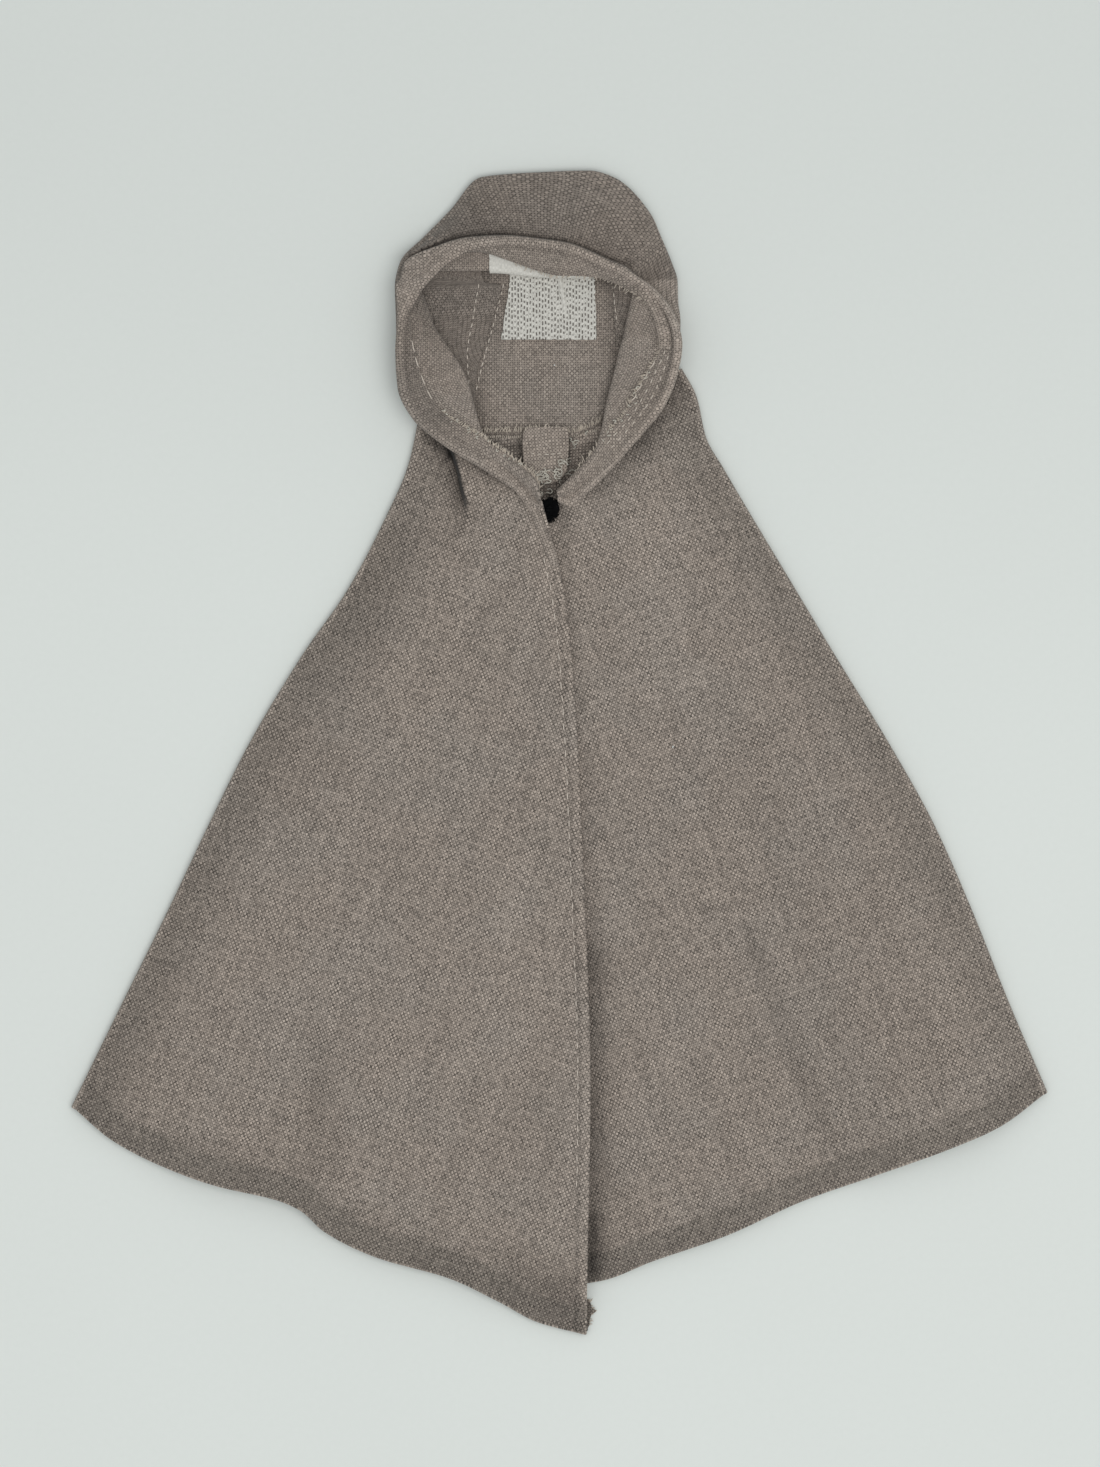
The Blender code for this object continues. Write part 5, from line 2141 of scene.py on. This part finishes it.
@dataclass
class Needlework:
    """Stitch rows and frayed threads on the finished cloth."""

    finishes: Finishes
    body: dict[str, Piece]
    hood: dict[str, Piece]
    tab: Piece
    plan: Body
    band: ClothSheet
    steps: int
    seed: int = 7
    on_cloth: float = 0.04
    raw_edge: float = 16.0
    edge_stitch: Stitch = Stitch(2.5, 1.35, 0.20)
    seam_stitch: Stitch = Stitch(1.45, 0.85, 0.12)
    rim_stitch: Stitch = Stitch(1.9, 0.95, 0.16)
    left_raw_stitch: Stitch = Stitch(3.1, 2.3, 0.05)
    right_raw_stitch: Stitch = Stitch(2.4, 1.9, 0.05)
    tab_stitch: Stitch = Stitch(1.2, 0.7, 0.10)

    def band_line(
        self, share: float, first: float, last: float, rise: float
    ) -> tuple[Array, Array]:
        """Reads a line along the band, and the way out of its raw edge.

        Args:
            share: Place down the section, in control points.
            first: Share of the band's length where the line starts.
            last: Share where it ends.
            rise: How far over the middle of the cloth it lies.

        Returns:
            The line's points and unit vectors out of the cloth's edge.
        """
        rows, columns = self.band.middle.shape[:2]
        span = slice(int(first * (rows - 1)), int(last * (rows - 1)) + 1)
        column = min(int(round(share * self.steps)), columns - 1)
        line = self.band.middle[span, column].copy()
        out = unit(line - self.band.middle[span, max(column - 3, 0)])
        line[:, 2] += rise
        return line, out

    def front_edge(self) -> Piece:
        """Sews the row along the upper front's turned edge.

        Returns:
            The stitches.
        """
        draw = random.Random(self.seed)
        y = np.linspace(36.5, -79.0, 380)
        x = self.plan.edge_at(y) - 2.1 + 0.05 * np.sin(y * 0.9)
        path = Surface(self.body["left"]).laid(spread(x, y), self.on_cloth)
        lines = stitches(path, self.edge_stitch, draw)
        return ride(tubes("front_edge_stitches", lines, 0.12, self.finishes.stitch))

    def hood_rows(self) -> Piece:
        """Sews the rows beside both seams of the hood back, round the rim and on the tab.

        Returns:
            The stitches.
        """
        draw = random.Random(self.seed + 1)
        floor = Surface(self.hood["back"], self.hood["band"])
        lines: list[Array] = []
        rows = (
            ((-9.9, 85.4), (-11.9, 77.5), (-13.8, 70.6), (-15.0, 65.7)),
            ((-14.4, 85.4), (-15.6, 78.4), (-16.6, 72.0), (-16.3, 66.5)),
            ((9.6, 85.2), (9.9, 81.4), (10.4, 77.8)),
        )
        for row in rows:
            path = floor.laid(along(row, np.linspace(0, 1, 60)), self.on_cloth, above=1.5)
            lines += stitches(path, self.seam_stitch, draw)
        rise = HALF + 0.02
        for column, first, last in ((14.5, 0.70, 0.93), (15.1, 0.76, 0.96)):
            lines += stitches(self.band_line(column, first, last, rise)[0], self.rim_stitch, draw)
        path, _ = self.band_line(15.93, 0.175, 0.275, rise)
        lines += stitches(path, self.left_raw_stitch, draw)
        path, out = self.band_line(15.93, 0.775, 0.86, rise)
        path[:, :2] += out[:, :2] * (0.16 * np.sin(np.arange(len(path)) * 0.85))[:, None]
        lines += stitches(path, self.right_raw_stitch, draw)
        plan = along(((-5.6, 54.3), (-2.5, 54.1), (0.9, 54.4)), np.linspace(0, 1, 40))
        lines += stitches(Surface(self.tab).laid(plan, self.on_cloth), self.tab_stitch, draw)
        return ride(tubes("hood_stitches", lines, 0.115, self.finishes.stitch))

    def frayed(self) -> Piece:
        """Frays the raw edges of the band's turning, the neck seam and the tab.

        Returns:
            The thread ends.
        """
        draw = random.Random(self.seed + 2)
        lines: list[Array] = []
        edges = ((0.0, 0.165, 0.18), (0.46, 0.62, 0.5), (0.62, 0.74, 0.4), (0.76, 0.98, 0.26))
        for first, last, spacing in edges:
            path, out = self.band_line(self.raw_edge, first, last, 0.10)
            lines += frays(path, out, spacing, (0.4, 0.95), draw)

        def fringe(
            path: Array, out: Sequence[float], spacing: float, reach: Pair
        ) -> None:
            """Adds ends that all stand out one way."""
            lines.extend(frays(path, np.tile(out, (len(path), 1)), spacing, reach, draw))

        tip = np.array([(reach, y) for y, reach in self.plan.tip[:-1]])
        fringe(lifted(tip, 0.7), [0.95, 0.2, 0.05], 0.25, (0.25, 0.6))
        floor = Surface(self.hood["back"], self.body["back"])
        for start, end, level, climb in ((-14.0, -7.0, 56.9, 0.0), (2.2, 6.6, 56.2, 0.3)):
            for x in np.arange(start, end, 0.36):
                low, high = level + climb * x + draw.uniform(-0.1, 0.1), draw.uniform(0.6, 0.95)
                slant = np.array([(x, low), (x + 0.12, low + high * 0.5), (x + 0.26, low + high)])
                lines.append(floor.laid(slant, 0.05, above=2.2))
        neck = ((-15.0, 58.1), (-9.0, 58.3), (-3.0, 58.3), (2.0, 58.2), (7.5, 60.1))
        path = lifted(along(neck, np.linspace(0, 1, 80)), 1.15)
        fringe(path, [0.0, 1.0, 0.05], 0.24, (0.35, 0.95))
        tab = ((-6.6, 57.4), (-5.6, 58.9), (-2.6, 59.1), (0.4, 58.9), (1.5, 57.6))
        plan = along(tab, np.linspace(0, 1, 60)) - np.array([0, 0.15])
        path = Surface(self.tab).laid(plan, -0.1)
        path[:, 2] = np.maximum(path[:, 2], 2.2)
        fringe(path, [0.0, 1.0, 0.15], 0.5, (0.3, 0.8))
        return ride(tubes("frayed_ends", lines, 0.09, self.finishes.fray, 4))

    @staticmethod
    def curled(x: float, y: float, size: float, count: int, draw: random.Random) -> Array:
        """Draws one loose curl in plan.

        Args:
            x: Where it starts across.
            y: Where it starts up.
            size: About how wide its turns are.
            count: How many points it has.
            draw: Source of chance.

        Returns:
            The curl's points.
        """
        turn = draw.uniform(0, math.tau)
        plan = []
        for _ in range(count):
            turn += draw.uniform(0.5, 1.5) * (1 if draw.random() < 0.8 else -1)
            x += math.cos(turn) * size * 0.55
            y += math.sin(turn) * size * 0.40
            plan.append((x, y))
        return np.array(plan)

    def tangle(self) -> Piece:
        """Lays the loose curled threads below the tab and along the band's raw edges.

        Returns:
            The tangle.
        """
        draw = random.Random(self.seed + 3)
        base = Surface(self.body["back"], self.body["right"], self.tab)
        lines = []
        spots = (
            (-4.2, 50.4, 1.3, 9), (-2.4, 50.6, 1.2, 11), (-0.6, 51, 1.2, 11), (0.9, 51.8, 1, 9),
            (-4, 48.9, 1.1, 9), (-3.9, 47.4, 0.9, 8), (-3, 49.8, 1, 9), (0.2, 50.2, 0.9, 8),
            (2, 55.4, 0.9, 8), (3.6, 56, 0.8, 8), (1.7, 53.8, 0.7, 7), (5.2, 57.4, 0.7, 6),
            (-3.5, 50, 1, 9), (-3.3, 48.6, 0.9, 10), (-2.9, 47.3, 0.8, 8), (-1.1, 50.4, 1, 8),
        )
        nest = [
            (
                x, 50.0 + (x + 4.2) * 0.36 + draw.uniform(-0.4, 0.4),
                draw.uniform(0.6, 1.3), draw.choice((5, 7, 9)),
            )
            for x in np.linspace(-4.2, 2.0, 8)
        ]
        for x, y, size, count in (*spots, *nest):
            level = base.laid(self.curled(x, y, size, count, draw), 0.25)
            level[:, 2] += np.array([draw.uniform(0.0, 0.55) for _ in level])
            lines.append(flowing(level, 5))
        for first, last in ((0.03, 0.165), (0.79, 0.92)):
            path, _ = self.band_line(self.raw_edge, first, last, 0.20)
            for x, y, z in path[:: draw.choice((3, 4))]:
                if draw.random() < 0.30:
                    continue
                plan = self.curled(x, y, draw.uniform(0.30, 0.55), draw.choice((4, 5, 6)), draw)
                level = np.array([z + draw.uniform(0.0, 0.35) for _ in plan])
                lines.append(flowing(lifted(plan, level), 4))
        return ride(tubes("loose_threads", lines, 0.10, self.finishes.loose))

    def specks(self) -> Piece:
        """Lays the few specks of lint on the cloth.

        Returns:
            The specks.
        """
        top = Surface(self.body["left"], self.body["right"], self.hood["back"])
        lines = []
        for x, y, turn, long in ((20.4, 1.5, 1.2, 0.5), (-0.9, 70.2, 1.0, 0.35)):
            reach = np.array([math.cos(turn), math.sin(turn)]) * long / 2
            plan = np.array([np.array([x, y]) + reach * s for s in (-1.0, -0.4, 0.4, 1.0)])
            lines.append(top.laid(plan, 0.12))
        return ride(tubes("lint_specks", lines, 0.13, self.finishes.lint, 6))

    def build(self) -> list[Piece]:
        """Builds all the needlework in order."""
        makers = (self.front_edge, self.hood_rows, self.frayed, self.tangle, self.specks)
        return [make() for make in makers]


class Lamp(NamedTuple):
    """A soft square light, sized in metres and watts, that faces the garment."""

    name: str
    place: tuple[float, float, float]
    size: float
    power: float
    colour: RGB


@dataclass
class Studio:
    """The pale ground, the soft light and the camera straight above."""

    finishes: Finishes
    centre: Pair = (-1.7, 3.9)
    tall: float = 264.1
    distance: float = 2.4
    ground: float = 1.4
    sensor: float = 36.0
    sky: tuple[float, float, float, float] = (0.98, 1.0, 0.995, 1.0)
    sky_strength: float = 0.52
    lamps: tuple[Lamp, ...] = (
        Lamp("window", (0.50, -0.22, 1.35), 0.9, 4.9, (1.0, 0.99, 0.97)),
        Lamp("ceiling", (-0.05, -0.17, 0.9), 0.9, 1.75, (1.0, 1.0, 1.0)),
    )

    def floor(self) -> None:
        """Lays the ground."""
        deselect()
        bpy.ops.mesh.primitive_plane_add(size=2 * self.ground, location=(0, 0, -0.00002))
        ground = bpy.context.active_object
        ground.name = "pale_ground"
        bpy.ops.object.mode_set(mode="EDIT")
        bpy.ops.mesh.select_all(action="SELECT")
        bpy.ops.mesh.subdivide(number_cuts=7)
        bpy.ops.object.mode_set(mode="OBJECT")
        bpy.ops.object.transform_apply(location=True, rotation=True, scale=True)
        ground.data.materials.append(self.finishes.ground)

    def light(self, lamp: Lamp) -> None:
        """Hangs a light.

        Args:
            lamp: Its sizes.
        """
        made = bpy.data.lights.new(lamp.name, "AREA")
        made.shape, made.size, made.energy, made.color = "SQUARE", *lamp[2:]
        holder = bpy.data.objects.new(lamp.name, made)
        holder.location = lamp.place
        holder.rotation_mode = "QUATERNION"
        holder.rotation_quaternion = (-Vector(lamp.place)).to_track_quat("-Z", "Y")
        bpy.context.scene.collection.objects.link(holder)

    def build(self) -> None:
        """Sets the ground, the lights and the camera."""
        self.floor()
        world = bpy.data.worlds.new("soft_room")
        world.use_nodes = True
        sky = world.node_tree.nodes["Background"]
        sky.inputs["Color"].default_value = self.sky
        sky.inputs["Strength"].default_value = self.sky_strength
        bpy.context.scene.world = world
        for lamp in self.lamps:
            self.light(lamp)
        camera = bpy.data.cameras.new("above")
        camera.sensor_width = self.sensor
        camera.lens = self.sensor * self.distance / (self.tall * MM)
        camera.clip_start, camera.clip_end = 0.01, 10.0
        holder = bpy.data.objects.new("above", camera)
        holder.location = (self.centre[0] * MM, self.centre[1] * MM, self.distance)
        bpy.context.scene.collection.objects.link(holder)
        bpy.context.scene.camera = holder
        bpy.context.scene.view_settings.view_transform = "Standard"


def main() -> None:
    """Builds the garment's cloths, snap and needlework, and then the studio."""
    logging.basicConfig(level=logging.INFO, format="%(name)s %(message)s")
    finishes = Finishes.made()
    hood = Hood(finishes)
    body = Body(finishes, hood)
    body_pieces = body.build()
    hood_pieces = hood.build()
    Patch(finishes, hood).build()
    tab = NeckTab(finishes).build()
    Snap(finishes).build()
    threads = Needlework(
        finishes, body_pieces, hood_pieces, tab, body, hood.band(), hood.steps
    ).build()
    front_row, hood_rows, frayed, tangle = threads[:4]
    hood.declare(hood_pieces, [hood_rows, frayed])
    body.declare(body_pieces, [tab, tangle], [front_row, hood_pieces["roll"]])
    Studio(finishes).build()


if __name__ == "__main__":
    main()
